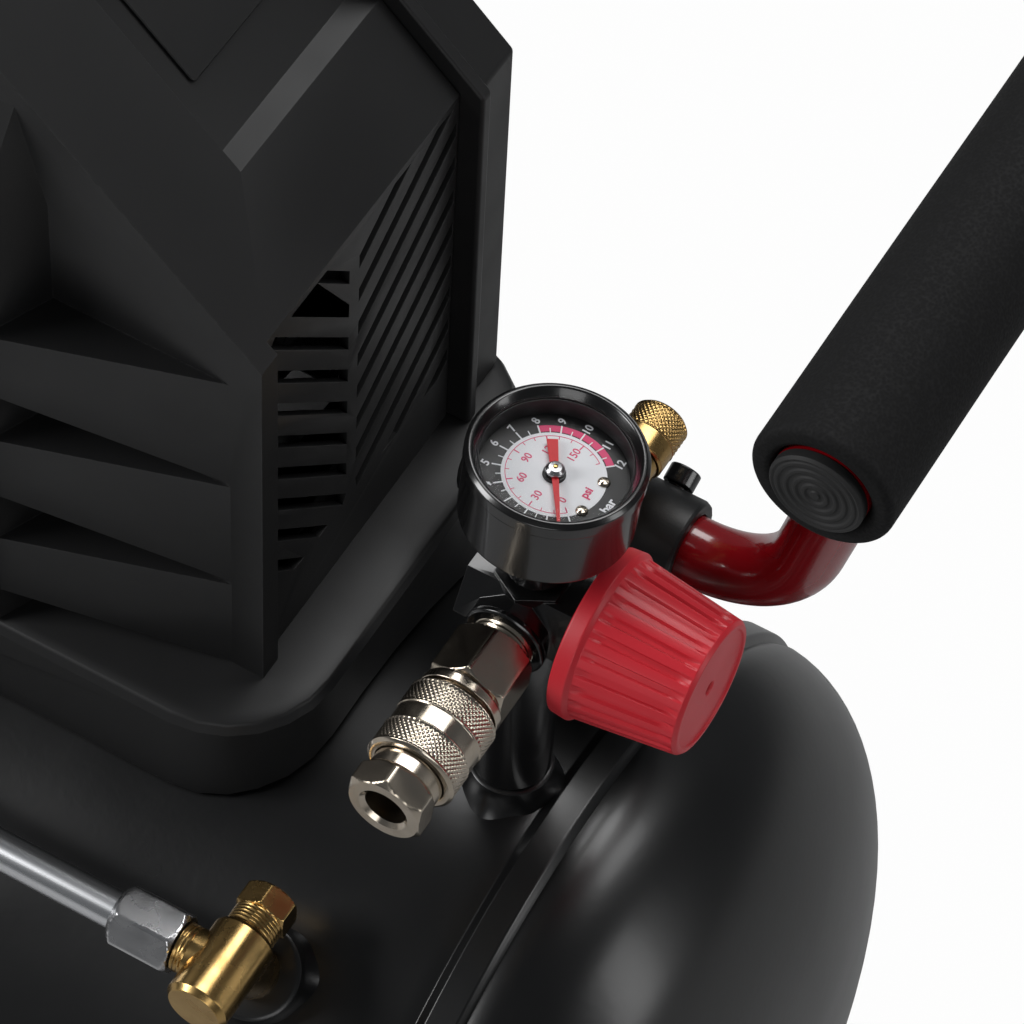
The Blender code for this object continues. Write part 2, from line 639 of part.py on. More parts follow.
def cowl_column():
    """The raised middle of the front wall, between the two rows of gills."""
    back = COWL_FRONT + 1.0
    near = [(FIN_LIP[0], COLUMN_FRONT, COWL_BASE), (FIN_LIP[0], COLUMN_FRONT, COLUMN_TOP),
            (FIN_ROOT_X, back, COWL_BASE), (FIN_ROOT_X, back, COLUMN_TOP),
            (FIN_ROOT_X - 8.0, back, COLUMN_FADE)]
    return hull("cowl_column", near + mirror_x(near, True))


def clipped_strip(first, last, slope, start, low, high):
    """Outline in Y and Z of one slanted slot, cut off level at a floor and a ceiling."""
    run = math.tan(slope)

    def crossing(level, offset):
        return first + (level - start - offset) / run
    points = []
    for offset, ends in ((0.0, (first, last)), (LOUVRE_SLOT, (last, first))):
        cuts = sorted((crossing(low, offset), crossing(high, offset)))
        inside = [min(max(y, cuts[0]), cuts[1]) for y in ends]
        if abs(inside[0] - inside[1]) > LOUVRE_SLOT / 2.0:
            points += [(y, start + offset + run * (y - first)) for y in inside]
    return points if len(points) == 4 else None


def louvre_cutters(name, x_wall):
    """Chevron slots through one side wall: a falling family in front, a rising one behind."""
    ceiling = COWL_EAVE + SIDE_RECESS * COWL_RISE / COWL_RUN - LOUVRE_MARGIN
    tallest = ceiling - LOUVRE_FLOOR
    bm = bmesh.new()
    for first, last, slope in (LOUVRES_FRONT, LOUVRES_BACK):
        reach = round(2.0 * tallest / LOUVRE_PITCH)
        for k in range(-reach, reach):
            points = clipped_strip(first, last, slope, 6.0 + k * LOUVRE_PITCH, LOUVRE_FLOOR, ceiling)
            if points is None:
                continue
            face = bm.faces.new([bm.verts.new((x_wall - 8.0, y, z)) for y, z in points])
            grown = bmesh.ops.extrude_face_region(bm, geom=[face])["geom"]
            tops = [g for g in grown if isinstance(g, bmesh.types.BMVert)]
            bmesh.ops.translate(bm, vec=(16.0, 0.0, 0.0), verts=tops)
    return add_mesh(name, bm, "cowl_black", smooth=False)


def shoulder_spot(up, depth):
    """A point of the right shoulder's section: `up` along it from the eave, `depth` below its face."""
    length = math.hypot(COWL_RUN, COWL_RISE)
    along = (-COWL_RUN / length, COWL_RISE / length)
    return (COWL_RIGHT + along[0] * up - along[1] * depth, COWL_EAVE + along[1] * up + along[0] * depth)


def shoulder_panel(name, mirrored):
    """Cutter for the sunk panel of one shoulder, whose lower side is a slope."""
    outline = [shoulder_spot(PANEL_LOW - PANEL_STEP, -PANEL_DEPTH),
               shoulder_spot(PANEL_LOW + PANEL_STEP, PANEL_DEPTH),
               shoulder_spot(PANEL_HIGH, PANEL_DEPTH), shoulder_spot(PANEL_HIGH, -PANEL_DEPTH)]
    return prism(name, mirror_x(outline, mirrored), PANEL_FRONT, COWL_SPLIT + 10.0, "cowl_black",
                 plane="XZ")


def cowl_front():
    """Front shell of the cowl with its gills, louvres and the opening for the switch."""
    shell = prism("cowl_front", cowl_outline(0.0, COWL_BASE), COWL_FRONT, COWL_SPLIT, "cowl_black",
                  plane="XZ")
    join(shell, cowl_column())
    for row in range(FIN_COUNT):
        top = FIN_TOP - row * FIN_PITCH
        join(shell, cowl_fin(f"fin_right_{row}", top, False))
        join(shell, cowl_fin(f"fin_left_{row}", top, True))
    for label, wall, side in (("right", COWL_RIGHT, 1.0), ("left", COWL_LEFT, -1.0)):
        edges = sorted((wall - side * SIDE_RECESS, wall + side * SIDE_RECESS))
        cut(shell, block(f"recess_{label}", (edges[0], RECESS_START, COWL_BASE - 5.0),
                         (edges[1], COWL_SPLIT + 5.0, COWL_EAVE + 20.0), "cowl_black"))
        cut(shell, shoulder_panel(f"panel_{label}", side < 0))
    inset = COWL_WALL + SIDE_RECESS
    cut(shell, prism("cowl_hollow", cowl_outline(inset, COWL_BASE - 5.0), COWL_FRONT + COWL_WALL,
                     COWL_SPLIT + 5.0, "cowl_black", plane="XZ"))
    cut(shell, louvre_cutters("louvres_right", COWL_RIGHT))
    cut(shell, louvre_cutters("louvres_left", COWL_LEFT))
    cut(shell, lathe_cutter("switch_hole", 9.5, 90.0, 170.0, (SWITCH[0], SWITCH[1], 0), (0, 0, 1), 24))
    return shell


def flange_outline():
    """The cowl's section, pushed out to the rim of the flange."""
    lift = FLANGE_SHOULDER / math.cos(math.atan2(COWL_RISE, COWL_RUN))
    side = FLANGE_SIDE * COWL_RISE / COWL_RUN
    right, left = COWL_RIGHT + FLANGE_SIDE, COWL_LEFT - FLANGE_SIDE
    roof = COWL_EAVE + COWL_RISE + FLANGE_SHOULDER
    shift = FLANGE_SHOULDER * math.tan(math.atan2(COWL_RISE, COWL_RUN) / 2.0)
    return [(right, COWL_BASE), (right, COWL_EAVE - side + lift), (COWL_RIGHT - COWL_RUN + shift, roof),
            (COWL_LEFT + COWL_RUN - shift, roof), (left, COWL_EAVE - side + lift), (left, COWL_BASE)]


def cowl_rear():
    """Rear shell, with the proud flange where the two shells meet."""
    first = COWL_SPLIT + GAP
    shell = prism("cowl_rear", flange_outline(), first, first + FLANGE_THICK, "cowl_black", plane="XZ")
    join(shell, prism("rear_body", cowl_outline(0.4, COWL_BASE), first + 1.0, COWL_BACK, "cowl_black",
                      plane="XZ"))
    cut(shell, prism("rear_hollow", cowl_outline(COWL_WALL + SIDE_RECESS, COWL_BASE - 5.0), first - 5.0,
                     COWL_BACK - COWL_WALL, "cowl_black", plane="XZ"))
    bm = bmesh.new()
    for k in range(GRILLE_SLOTS):
        x = COWL_RIGHT - 60.0 - GRILLE_PITCH * k
        spots = [(x, -20.0), (x - GRILLE_SLOT, -20.0), (x - GRILLE_SLOT, 60.0), (x, 60.0)]
        face = bm.faces.new([bm.verts.new((u, COWL_BACK - 8.0, w)) for u, w in spots])
        grown = bmesh.ops.extrude_face_region(bm, geom=[face])["geom"]
        tops = [g for g in grown if isinstance(g, bmesh.types.BMVert)]
        bmesh.ops.translate(bm, vec=(0.0, 16.0, 0.0), verts=tops)
    cut(shell, add_mesh("rear_grille", bm, "cowl_black", smooth=False))
    return shell


def cowl_plinth():
    """Tray between the cowl and the tank, its skirt cut to the tank's curve."""
    low = (COWL_LEFT - PLINTH_OUT, PLINTH_FRONT)
    high = (COWL_RIGHT + PLINTH_OUT, PLINTH_BACK)
    tray = prism("cowl_plinth", rounded_rectangle(low, high, PLINTH_CORNER), -160.0, PLINTH_TOP,
                 "cowl_black", smooth=True)
    edge = tray.modifiers.new("Edge", "BEVEL")
    edge.width = 4.0 * MM
    edge.segments = 2
    edge.limit_method = "ANGLE"
    edge.angle_limit = math.radians(60.0)
    inner_low = (low[0] + 3.0, low[1] + 3.0)
    inner_high = (high[0] - 3.0, high[1] - 3.0)
    cut(tray, prism("tray_hollow", rounded_rectangle(inner_low, inner_high, PLINTH_CORNER - 3.0), -150.0,
                    PLINTH_TOP - 3.0, "cowl_black"))
    cut(tray, block("tray_window", (COWL_LEFT + 10.0, COWL_FRONT + 4.0, -80.0),
                    (COWL_RIGHT - 12.0, COWL_SPLIT - 4.0, 0.0), "cowl_black"))
    cut(tray, lathe_cutter("tube_hole", 5.6, -20.0, 20.0, (TUBE_X, PLINTH_FRONT, VALVE[2]), (0, 1, 0), 16))
    cut(tray, lathe_cutter("gland_hole", 8.3, -12.0, 12.0, GLAND, (0, 1, 0), 20))
    cut(tray, tank_trim("tray_trim"))
    return tray


# ---------------------------------------------------------------- pump and motor


def pump_saddle():
    """Bridge welded to the tank, on which the pump's rubber mounts stand."""
    saddle = block("pump_saddle", (-295.0, -8.0, -130.0), (-85.0, 70.0, -60.0), "tank_black")
    cut(saddle, block("saddle_under", (-292.0, -20.0, -140.0), (-88.0, 82.0, -63.0), "tank_black"))
    cut(saddle, tank_trim("saddle_trim"))
    mount = block("pump_mount", (-280.0, 0.0, -59.7), (-125.0, 64.0, BASE_Z - 2.5 - GAP), "rubber")
    cut(mount, block("mount_window", (-262.0, 14.0, -70.0), (-143.0, 50.0, -40.0), "rubber"))
    base = block("pump_base", (-290.0, -4.0, BASE_Z - 2.5), (-90.0, 70.0, BASE_Z), "satin_black")
    return base


def crankcase():
    """Cast case, open to the cylinder above, with a bearing bore through both ends."""
    low, high = CRANK_X - 32.0, CRANK_X + 32.0
    case = block("crankcase", (low, SHAFT_Y - 35.0, BASE_Z + GAP), (high, SHAFT_Y + 35.0, CASE_TOP),
                 "aluminium")
    cut(case, block("case_hollow", (low + 5.0, SHAFT_Y - 29.0, BASE_Z + 6.0),
                    (high - 5.0, SHAFT_Y + 29.0, CASE_TOP - 5.0), "aluminium"))
    cut(case, lathe_cutter("case_mouth", 23.0, 0.0, 60.0, (CRANK_X, SHAFT_Y, SHAFT_Z), (0, 0, 1), 32))
    cut(case, lathe_cutter("case_bearings", 7.3, -40.0, 40.0, (CRANK_X, SHAFT_Y, SHAFT_Z), (1, 0, 0), 24))
    return case


def crank_train():
    """Crankshaft with its eccentric, and the piston with the upper end of its rod.

    The rod stops above the circle that the eccentric sweeps, because the big end is left open.
    """
    at = (CRANK_X, SHAFT_Y, SHAFT_Z)
    shaft = turned("crankshaft", [(0, -128.0), (6.0, -128.0), (6.0, -49.5), (7.0, -49.5), (7.0, -24.0),
                                  (20.0, -24.0), (20.0, -14.0), (7.0, -14.0), (7.0, 32.5), (6.0, 33.0),
                                  (6.0, 80.0), (0, 80.0)], "bright_steel", at, (1, 0, 0), 24)
    pin = turned("crank_pin", [(0, -16.0), (PIN_R, -16.0), (PIN_R, 7.0), (0, 7.0)], "bright_steel",
                 (CRANK_X, SHAFT_Y, SHAFT_Z + THROW), (1, 0, 0), 24)
    join(shaft, pin)
    crown = CASE_TOP + 18.0
    swept = SHAFT_Z + THROW + PIN_R
    foot = swept + STROKE + 1.0
    rod = prism("connecting_rod", [(-6.0, foot), (6.0, foot), (5.0, crown - 8.0), (-5.0, crown - 8.0)],
                CRANK_X - 4.0, CRANK_X + 4.0, "aluminium", (0, SHAFT_Y, 0), "YZ")
    piston = turned("piston", [(0, crown - 10.0), (6.0, crown - 10.0), (8.0, crown - 6.0),
                               (BORE_R - GAP, crown - 6.0),
                               (BORE_R - GAP, crown + 6.0), (0, crown + 6.0)], "aluminium",
                    (CRANK_X, SHAFT_Y, 0), steps=32)
    join(rod, piston)
    return shaft


def pump_top():
    """Finned cylinder, its head with the outlet port, and the air filter."""
    low, high = CASE_TOP + GAP, 84.0
    profile = [(BORE_R, low), (25.0, low)]
    fins = 4
    for k in range(fins):
        z = low + 5.0 + k * 9.0
        profile += [(25.0, z), (31.0, z), (31.0, z + 2.5), (25.0, z + 2.5)]
    profile += [(25.0, high), (BORE_R, high)]
    turned("cylinder", profile, "cast_iron", (CRANK_X, SHAFT_Y, 0), steps=32)
    head = block("cylinder_head", (CRANK_X - 29.0, SHAFT_Y - 29.0, high + GAP),
                 (CRANK_X + 29.0, SHAFT_Y + 29.0, 108.0),
                 "aluminium")
    for k in range(6):
        x = CRANK_X - 24.0 + 9.0 * k
        cut(head, block(f"head_fin_{k}", (x, SHAFT_Y - 40.0, 97.0), (x + 4.5, SHAFT_Y + 40.0, 115.0),
                        "aluminium"))
    cut(head, lathe_cutter("head_port", 4.2, -40.0, -12.0, (CRANK_X, SHAFT_Y, 92.3), (0, 1, 0), 12))
    turned("air_filter", [(0, 0.0), (15.0, 0.0), (15.0, 14.0), (12.0, 17.0), (0, 17.0)], "satin_black",
           (CRANK_X, SHAFT_Y + 29.0 + GAP, 96.0), (0, 1, 0), 24)


def motor():
    at = (0, SHAFT_Y, SHAFT_Z)
    turned("motor_stator", [(30.0, -288.0), (47.0, -288.0), (48.0, -285.0), (48.0, -195.0), (47.0, -192.0),
                            (30.0, -192.0)], "cast_iron", at, (1, 0, 0), 40)
    rotor = turned("motor_rotor", [(6.0 + GAP, -275.0), (28.5, -275.0), (28.5, -205.0),
                                   (6.0 + GAP, -205.0)],
                   "bright_steel", at, (1, 0, 0), 32)
    fan = turned("cooling_fan", [(6.0 + GAP, -104.0), (12.0, -104.0), (12.0, -88.0), (6.0 + GAP, -88.0)],
                 "satin_black", at, (1, 0, 0), 24)
    blades = 7
    for k in range(blades):
        a = math.tau * k / blades
        blade = block(f"fan_blade_{k}", (-7.0, -1.0, 10.0), (7.0, 1.0, 40.0), "satin_black")
        blade.rotation_mode = "XYZ"
        blade.rotation_euler = (a, 0.0, 0.0)
        blade.location = place(-96.0, SHAFT_Y, SHAFT_Z)
        join(fan, blade)
    turned("start_capacitor", [(0, 0.0), (17.0, 0.0), (17.0, 50.0), (15.0, 52.0), (0, 52.0)], "satin_black",
           (-281.0, SHAFT_Y, 72.0), (1, 0, 0), 24)
    return rotor


def pressure_switch():
    x, y, z = SWITCH
    body = block("pressure_switch", (x - 20.0, y - 22.0, z), (x + 16.0, y + 22.0, 128.0), "gauge_black")
    cut(body, lathe_cutter("switch_well", 7.5, 110.0, 140.0, (x, y, 0), (0, 0, 1), 20))
    turned("switch_button", [(0, 118.0), (7.0, 118.0), (7.0, 150.0), (8.8, 150.6), (8.8, 166.0),
                             (7.8, 167.0),
                             (0, 167.0)], "knob_red", (x, y, 0), steps=24)
    turned("cable_gland", [(0, -8.0), (8.0, -8.0), (8.0, GAP), (11.0, GAP), (11.0, 4.5), (8.5, 5.5),
                           (7.0, 14.0),
                           (3.6, 14.0), (3.6, 2.0), (0, 2.0)], "satin_black", GLAND, (0, 1, 0), 24)


# ---------------------------------------------------------------- delivery and drain


def check_valve():
    """Brass valve on its leg: inlet on the left, hexagon plug at the back."""
    x, y, z = VALVE
    leg = valve_leg()
    axis_gap = (Vector((0.0, y, z - (TANK_Z - PORT[2])))).length - TANK_R
    body = turned("check_valve", [(0, -14.0), (7.5, -14.0), (8.5, -12.0), (8.5, 10.0), (6.8, 12.0),
                                  (6.8, 16.5),
                                  (0, 16.5)], "brass", VALVE, (0, 1, 0), 24)
    join(body, turned("valve_leg", [(0, 8.0 + GAP), (7.2, 8.0 + GAP), (7.2, axis_gap), (0, axis_gap)],
                      "brass",
                      valve_foot(0.0), leg, 20))
    join(body, turned("valve_inlet", [(0, -12.0), (6.6, -12.0), (6.6, 0.0), (0, 0.0)], "brass", VALVE,
                      (1, 0, 0), 20))
    join(body, hexagon_bar("valve_plug", 13.5, 16.0, 23.5, "brass", VALVE, (0, 1, 0)))
    cut(body, lathe_cutter("inlet_bore", 4.6, -30.0, -6.0, VALVE, (1, 0, 0), 16))
    cut(body, lathe_cutter("inlet_way", 2.5, -30.0, 0.0, VALVE, (1, 0, 0), 12))
    cut(body, lathe_cutter("leg_bore", 3.0, 0.0, axis_gap, valve_foot(0.0), leg, 12))
    return body


def delivery():
    x, y, z = VALVE
    deep = -13.0
    route = [(x - 12.0 - GAP, y, z), (TUBE_X, y, z), (TUBE_X, deep, z), (TUBE_X, deep, 92.3)]
    path = bent_path(route, 22.0, 6)
    port = 92.3
    path = path[:-1] + [Vector((TUBE_X, deep, port - 14.0)), Vector((TUBE_X, deep + 2.0, port - 5.0)),
                        Vector((TUBE_X, deep + 8.0, port)), Vector((TUBE_X, SHAFT_Y - 29.0 - GAP, port))]
    tube = pipe("delivery_tube", path, 5.0, "aluminium", 2)
    nut = hexagon_bar("delivery_nut", 15.5, -18.0, 0.0, "bright_steel", (x - 12.0 - GAP, y, z), (1, 0, 0))
    cut(nut, lathe_cutter("nut_bore", 5.0 + GAP, -30.0, 10.0, (x - 12.0, y, z), (1, 0, 0), 20))
    return tube


def drain():
    low = TANK_Z - TANK_R - PORT[2] - 6.0
    body = hexagon_bar("drain_valve", 16.0, low - 9.0, low - GAP, "brass", (DRAIN_X, 0, 0))
    join(body, turned("drain_thread", [(0, low - 1.0), (6.2, low - 1.0), (6.2, low + 9.0), (0, low + 9.0)],
                      "brass",
                      (DRAIN_X, 0, 0), steps=20))
    cut(body, lathe_cutter("drain_bore", 2.5, low - 20.0, low + 20.0, (DRAIN_X, 0, 0), (0, 0, 1), 12))
    turned("drain_knob", [(0, low - 19.0), (7.0, low - 19.0), (8.5, low - 18.0), (8.5, low - 11.0),
                          (2.2, low - 9.4),
                          (2.2, low - 4.0), (0, low - 4.0)], "brass", (DRAIN_X, 0, 0), steps=20)


# ---------------------------------------------------------------- wheels and feet


def hollow_bracket(name, low, high, wall):
    """A channel under the tank, open below, its top cut to the tank's curve."""
    item = block(name, low, high, "tank_black")
    cut(item, block(f"{name}_under", (low[0] + wall, low[1] + wall, low[2] - 5.0),
                    (high[0] - wall, high[1] - wall, high[2] + 5.0), "tank_black"))
    cut(item, tank_trim(f"{name}_trim"))
    return item


def running_gear():
    axle_z = WHEEL_R - PORT[2]
    bracket = hollow_bracket("axle_bracket", (WHEEL_X - 20.0, -110.0, 56.0 - PORT[2]),
                             (WHEEL_X + 20.0, 110.0, 130.0 - PORT[2]), 4.0)
    cut(bracket, lathe_cutter("axle_hole", 6.0 + GAP, -130.0, 130.0, (WHEEL_X, 0, axle_z), (0, 1, 0), 20))
    for side, label in ((-1.0, "front"), (1.0, "rear")):
        at = (WHEEL_X, side * WHEEL_IN, axle_z)
        out = (0, side, 0)
        w = WHEEL_WIDTH
        hub = turned(f"hub_{label}", [
            (6.0 + GAP, 0.0), (16.0, 0.0), (16.0, 12.0), (44.0, 14.0), (47.0, 6.0), (50.0, 6.0),
            (50.0, w - 6.0),
            (47.0, w - 6.0), (44.0, 20.0), (16.0, 22.0), (16.0, w - 1.0), (6.0 + GAP, w - 1.0)],
            "satin_black", at, out, 34)
        turned(f"axle_{label}", [
            (0, -26.0), (9.0, -26.0), (9.0, -20.0 - GAP), (6.0, -20.0 - GAP), (6.0, w), (10.0, w),
            (10.0, w + 2.5),
            (0, w + 2.5)], "bright_steel", at, out, 20)
        turned(f"tyre_{label}", [
            (50.0 + GAP, 5.0), (58.0, 2.0), (67.0, 3.0), (WHEEL_R, 9.0), (WHEEL_R, w - 9.0), (67.0, w - 3.0),
            (58.0, w - 2.0), (50.0 + GAP, w - 5.0)], "rubber", at, out, 34)
    hollow_bracket("foot_bracket", (FOOT_X - 20.0, -95.0, 28.0 - PORT[2]),
                   (FOOT_X + 20.0, 95.0, 120.0 - PORT[2]), 4.0)
    for side, label in ((-1.0, "front"), (1.0, "rear")):
        turned(f"foot_{label}", [(0, 0.0), (17.0, 0.0), (20.0, 3.0), (20.0, 20.0), (18.0, 28.0 - GAP),
                                 (14.0, 28.0 - GAP), (14.0, 34.0), (0, 34.0)], "rubber",
               (FOOT_X, side * FOOT_Y, -PORT[2]), steps=24)


def build():
    clear_scene()
    tank_shell()
    riser_pipe()
    manifold()
    gauge()
    gauge_needle()
    regulator()
    coupler()
    safety_valve()
    handle_socket()
    handle()
    cowl_front()
    cowl_rear()
    cowl_plinth()
    pump_saddle()
    crankcase()
    crank_train()
    pump_top()
    motor()
    pressure_switch()
    check_valve()
    delivery()
    drain()
    running_gear()


build()
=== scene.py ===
"""Looks of a portable direct-drive air compressor: finishes, fine surfaces, camera and light.

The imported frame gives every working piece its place. This script lays fine surfaces over the pieces
that are seen, dresses all of them in procedural finishes, and sets a plain studio around the machine.
Sizes are in millimetres from the middle of the outlet manifold, which carries the gauge, and become
metres where a mesh is made. X runs along the tank to the handle, -Y faces the operator, Z is up.
"""

import json
import logging
import math
from dataclasses import dataclass, replace
from enum import Enum
from typing import Callable, Iterable, Optional, Sequence

import bmesh
import bpy
import numpy as np
from mathutils import Matrix, Vector


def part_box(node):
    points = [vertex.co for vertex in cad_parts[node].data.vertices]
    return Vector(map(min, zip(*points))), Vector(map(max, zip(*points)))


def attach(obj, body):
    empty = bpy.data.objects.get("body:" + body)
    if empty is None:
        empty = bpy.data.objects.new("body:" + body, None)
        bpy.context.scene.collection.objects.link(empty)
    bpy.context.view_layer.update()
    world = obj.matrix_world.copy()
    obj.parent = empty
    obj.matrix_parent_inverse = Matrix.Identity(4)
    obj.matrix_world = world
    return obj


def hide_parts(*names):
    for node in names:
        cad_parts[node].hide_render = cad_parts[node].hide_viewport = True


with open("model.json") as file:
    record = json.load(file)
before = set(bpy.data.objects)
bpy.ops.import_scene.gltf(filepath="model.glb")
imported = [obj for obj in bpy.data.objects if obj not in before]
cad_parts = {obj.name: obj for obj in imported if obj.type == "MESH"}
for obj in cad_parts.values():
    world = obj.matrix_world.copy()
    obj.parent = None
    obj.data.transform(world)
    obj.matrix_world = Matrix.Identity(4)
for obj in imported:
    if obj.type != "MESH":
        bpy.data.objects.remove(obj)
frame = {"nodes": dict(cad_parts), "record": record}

LOG = logging.getLogger("compressor")
MM = 0.001
TAU = math.tau
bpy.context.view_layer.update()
BODY_OF = {node: body for body, nodes in frame["record"]["behaviour"]["bodies"].items() for node in nodes}

Profile = Sequence[tuple[float, float]]
Shape = Callable[[np.ndarray, np.ndarray, np.ndarray], np.ndarray]
Spot = tuple[float, float, float]
X_AXIS: Spot = (1.0, 0.0, 0.0)
Y_AXIS: Spot = (0.0, 1.0, 0.0)
Z_AXIS: Spot = (0.0, 0.0, 1.0)
FRONT: Spot = (0.0, -1.0, 0.0)
PORT_TO_TOP = 12.0
PORT_TO_FACE = 14.0


def find_port() -> Vector:
    """The middle of the outlet manifold, in millimetres, from the manifold's box."""
    low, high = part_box("manifold")
    return Vector((high.x / MM - PORT_TO_FACE, (low.y + high.y) / 2.0 / MM, high.z / MM - PORT_TO_TOP))


PORT = find_port()


# ---------------------------------------------------------------- node trees


class Nodes:
    """Adds and joins the nodes of one tree."""

    def __init__(self, tree: bpy.types.NodeTree) -> None:
        """Keeps the tree that nodes are added to."""
        self.tree = tree

    def add(self, kind: str, inputs: Optional[dict] = None, **settings) -> bpy.types.Node:
        """Adds one node.

        Args:
            kind: Blender's type name of the node.
            inputs: Sockets by name or number, each with a value or another node's output.
            settings: Properties of the node.

        Returns:
            The new node.
        """
        node = self.tree.nodes.new(kind)
        for key, value in settings.items():
            setattr(node, key, value)
        for key, value in (inputs or {}).items():
            if isinstance(value, bpy.types.NodeSocket):
                self.tree.links.new(value, node.inputs[key])
            else:
                node.inputs[key].default_value = value
        return node

    def math(self, operation: str, first, second=0.0, clamp: bool = False) -> bpy.types.NodeSocket:
        """The result of one Math node on two sockets or numbers."""
        return self.add("ShaderNodeMath", {0: first, 1: second}, operation=operation,
                        use_clamp=clamp).outputs[0]

    def blend(self, factor, first, second) -> bpy.types.NodeSocket:
        """A colour between two others."""
        node = self.add("ShaderNodeMix", {0: factor, 6: first, 7: second}, data_type="RGBA")
        return node.outputs[2]

    def stretch(self, value, low: float, high: float, to_low: float = 0.0,
                to_high: float = 1.0) -> bpy.types.NodeSocket:
        """A value carried from one range to another, held at the ends."""
        node = self.add("ShaderNodeMapRange", {0: value, 1: low, 2: high, 3: to_low, 4: to_high})
        return node.outputs[0]


def group_tree(name: str, inputs: Iterable[tuple[str, str, object]],
               outputs: Iterable[tuple[str, str]]) -> tuple[Nodes, bpy.types.Node, bpy.types.Node]:
    """Starts a shader node group.

    Args:
        name: Name of the group.
        inputs: Name, socket type and default of each input.
        outputs: Name and socket type of each output.

    Returns:
        The nodes helper, and the group's input and output nodes.
    """
    tree = bpy.data.node_groups.new(name, "ShaderNodeTree")
    for label, kind, default in inputs:
        socket = tree.interface.new_socket(label, in_out="INPUT", socket_type=kind)
        if default is not None:
            socket.default_value = default
    for label, kind in outputs:
        tree.interface.new_socket(label, in_out="OUTPUT", socket_type=kind)
    nodes = Nodes(tree)
    return nodes, nodes.add("NodeGroupInput"), nodes.add("NodeGroupOutput")


class Pattern(Enum):
    """The fine relief that a finish carries."""

    GRAIN = "surface_grain"
    ORANGE_PEEL = "orange_peel"
    TURNED = "turning_marks"
    BRUSHED = "brushed_lines"
    FOAM = "foam_cells"
    CAST = "sand_cast"


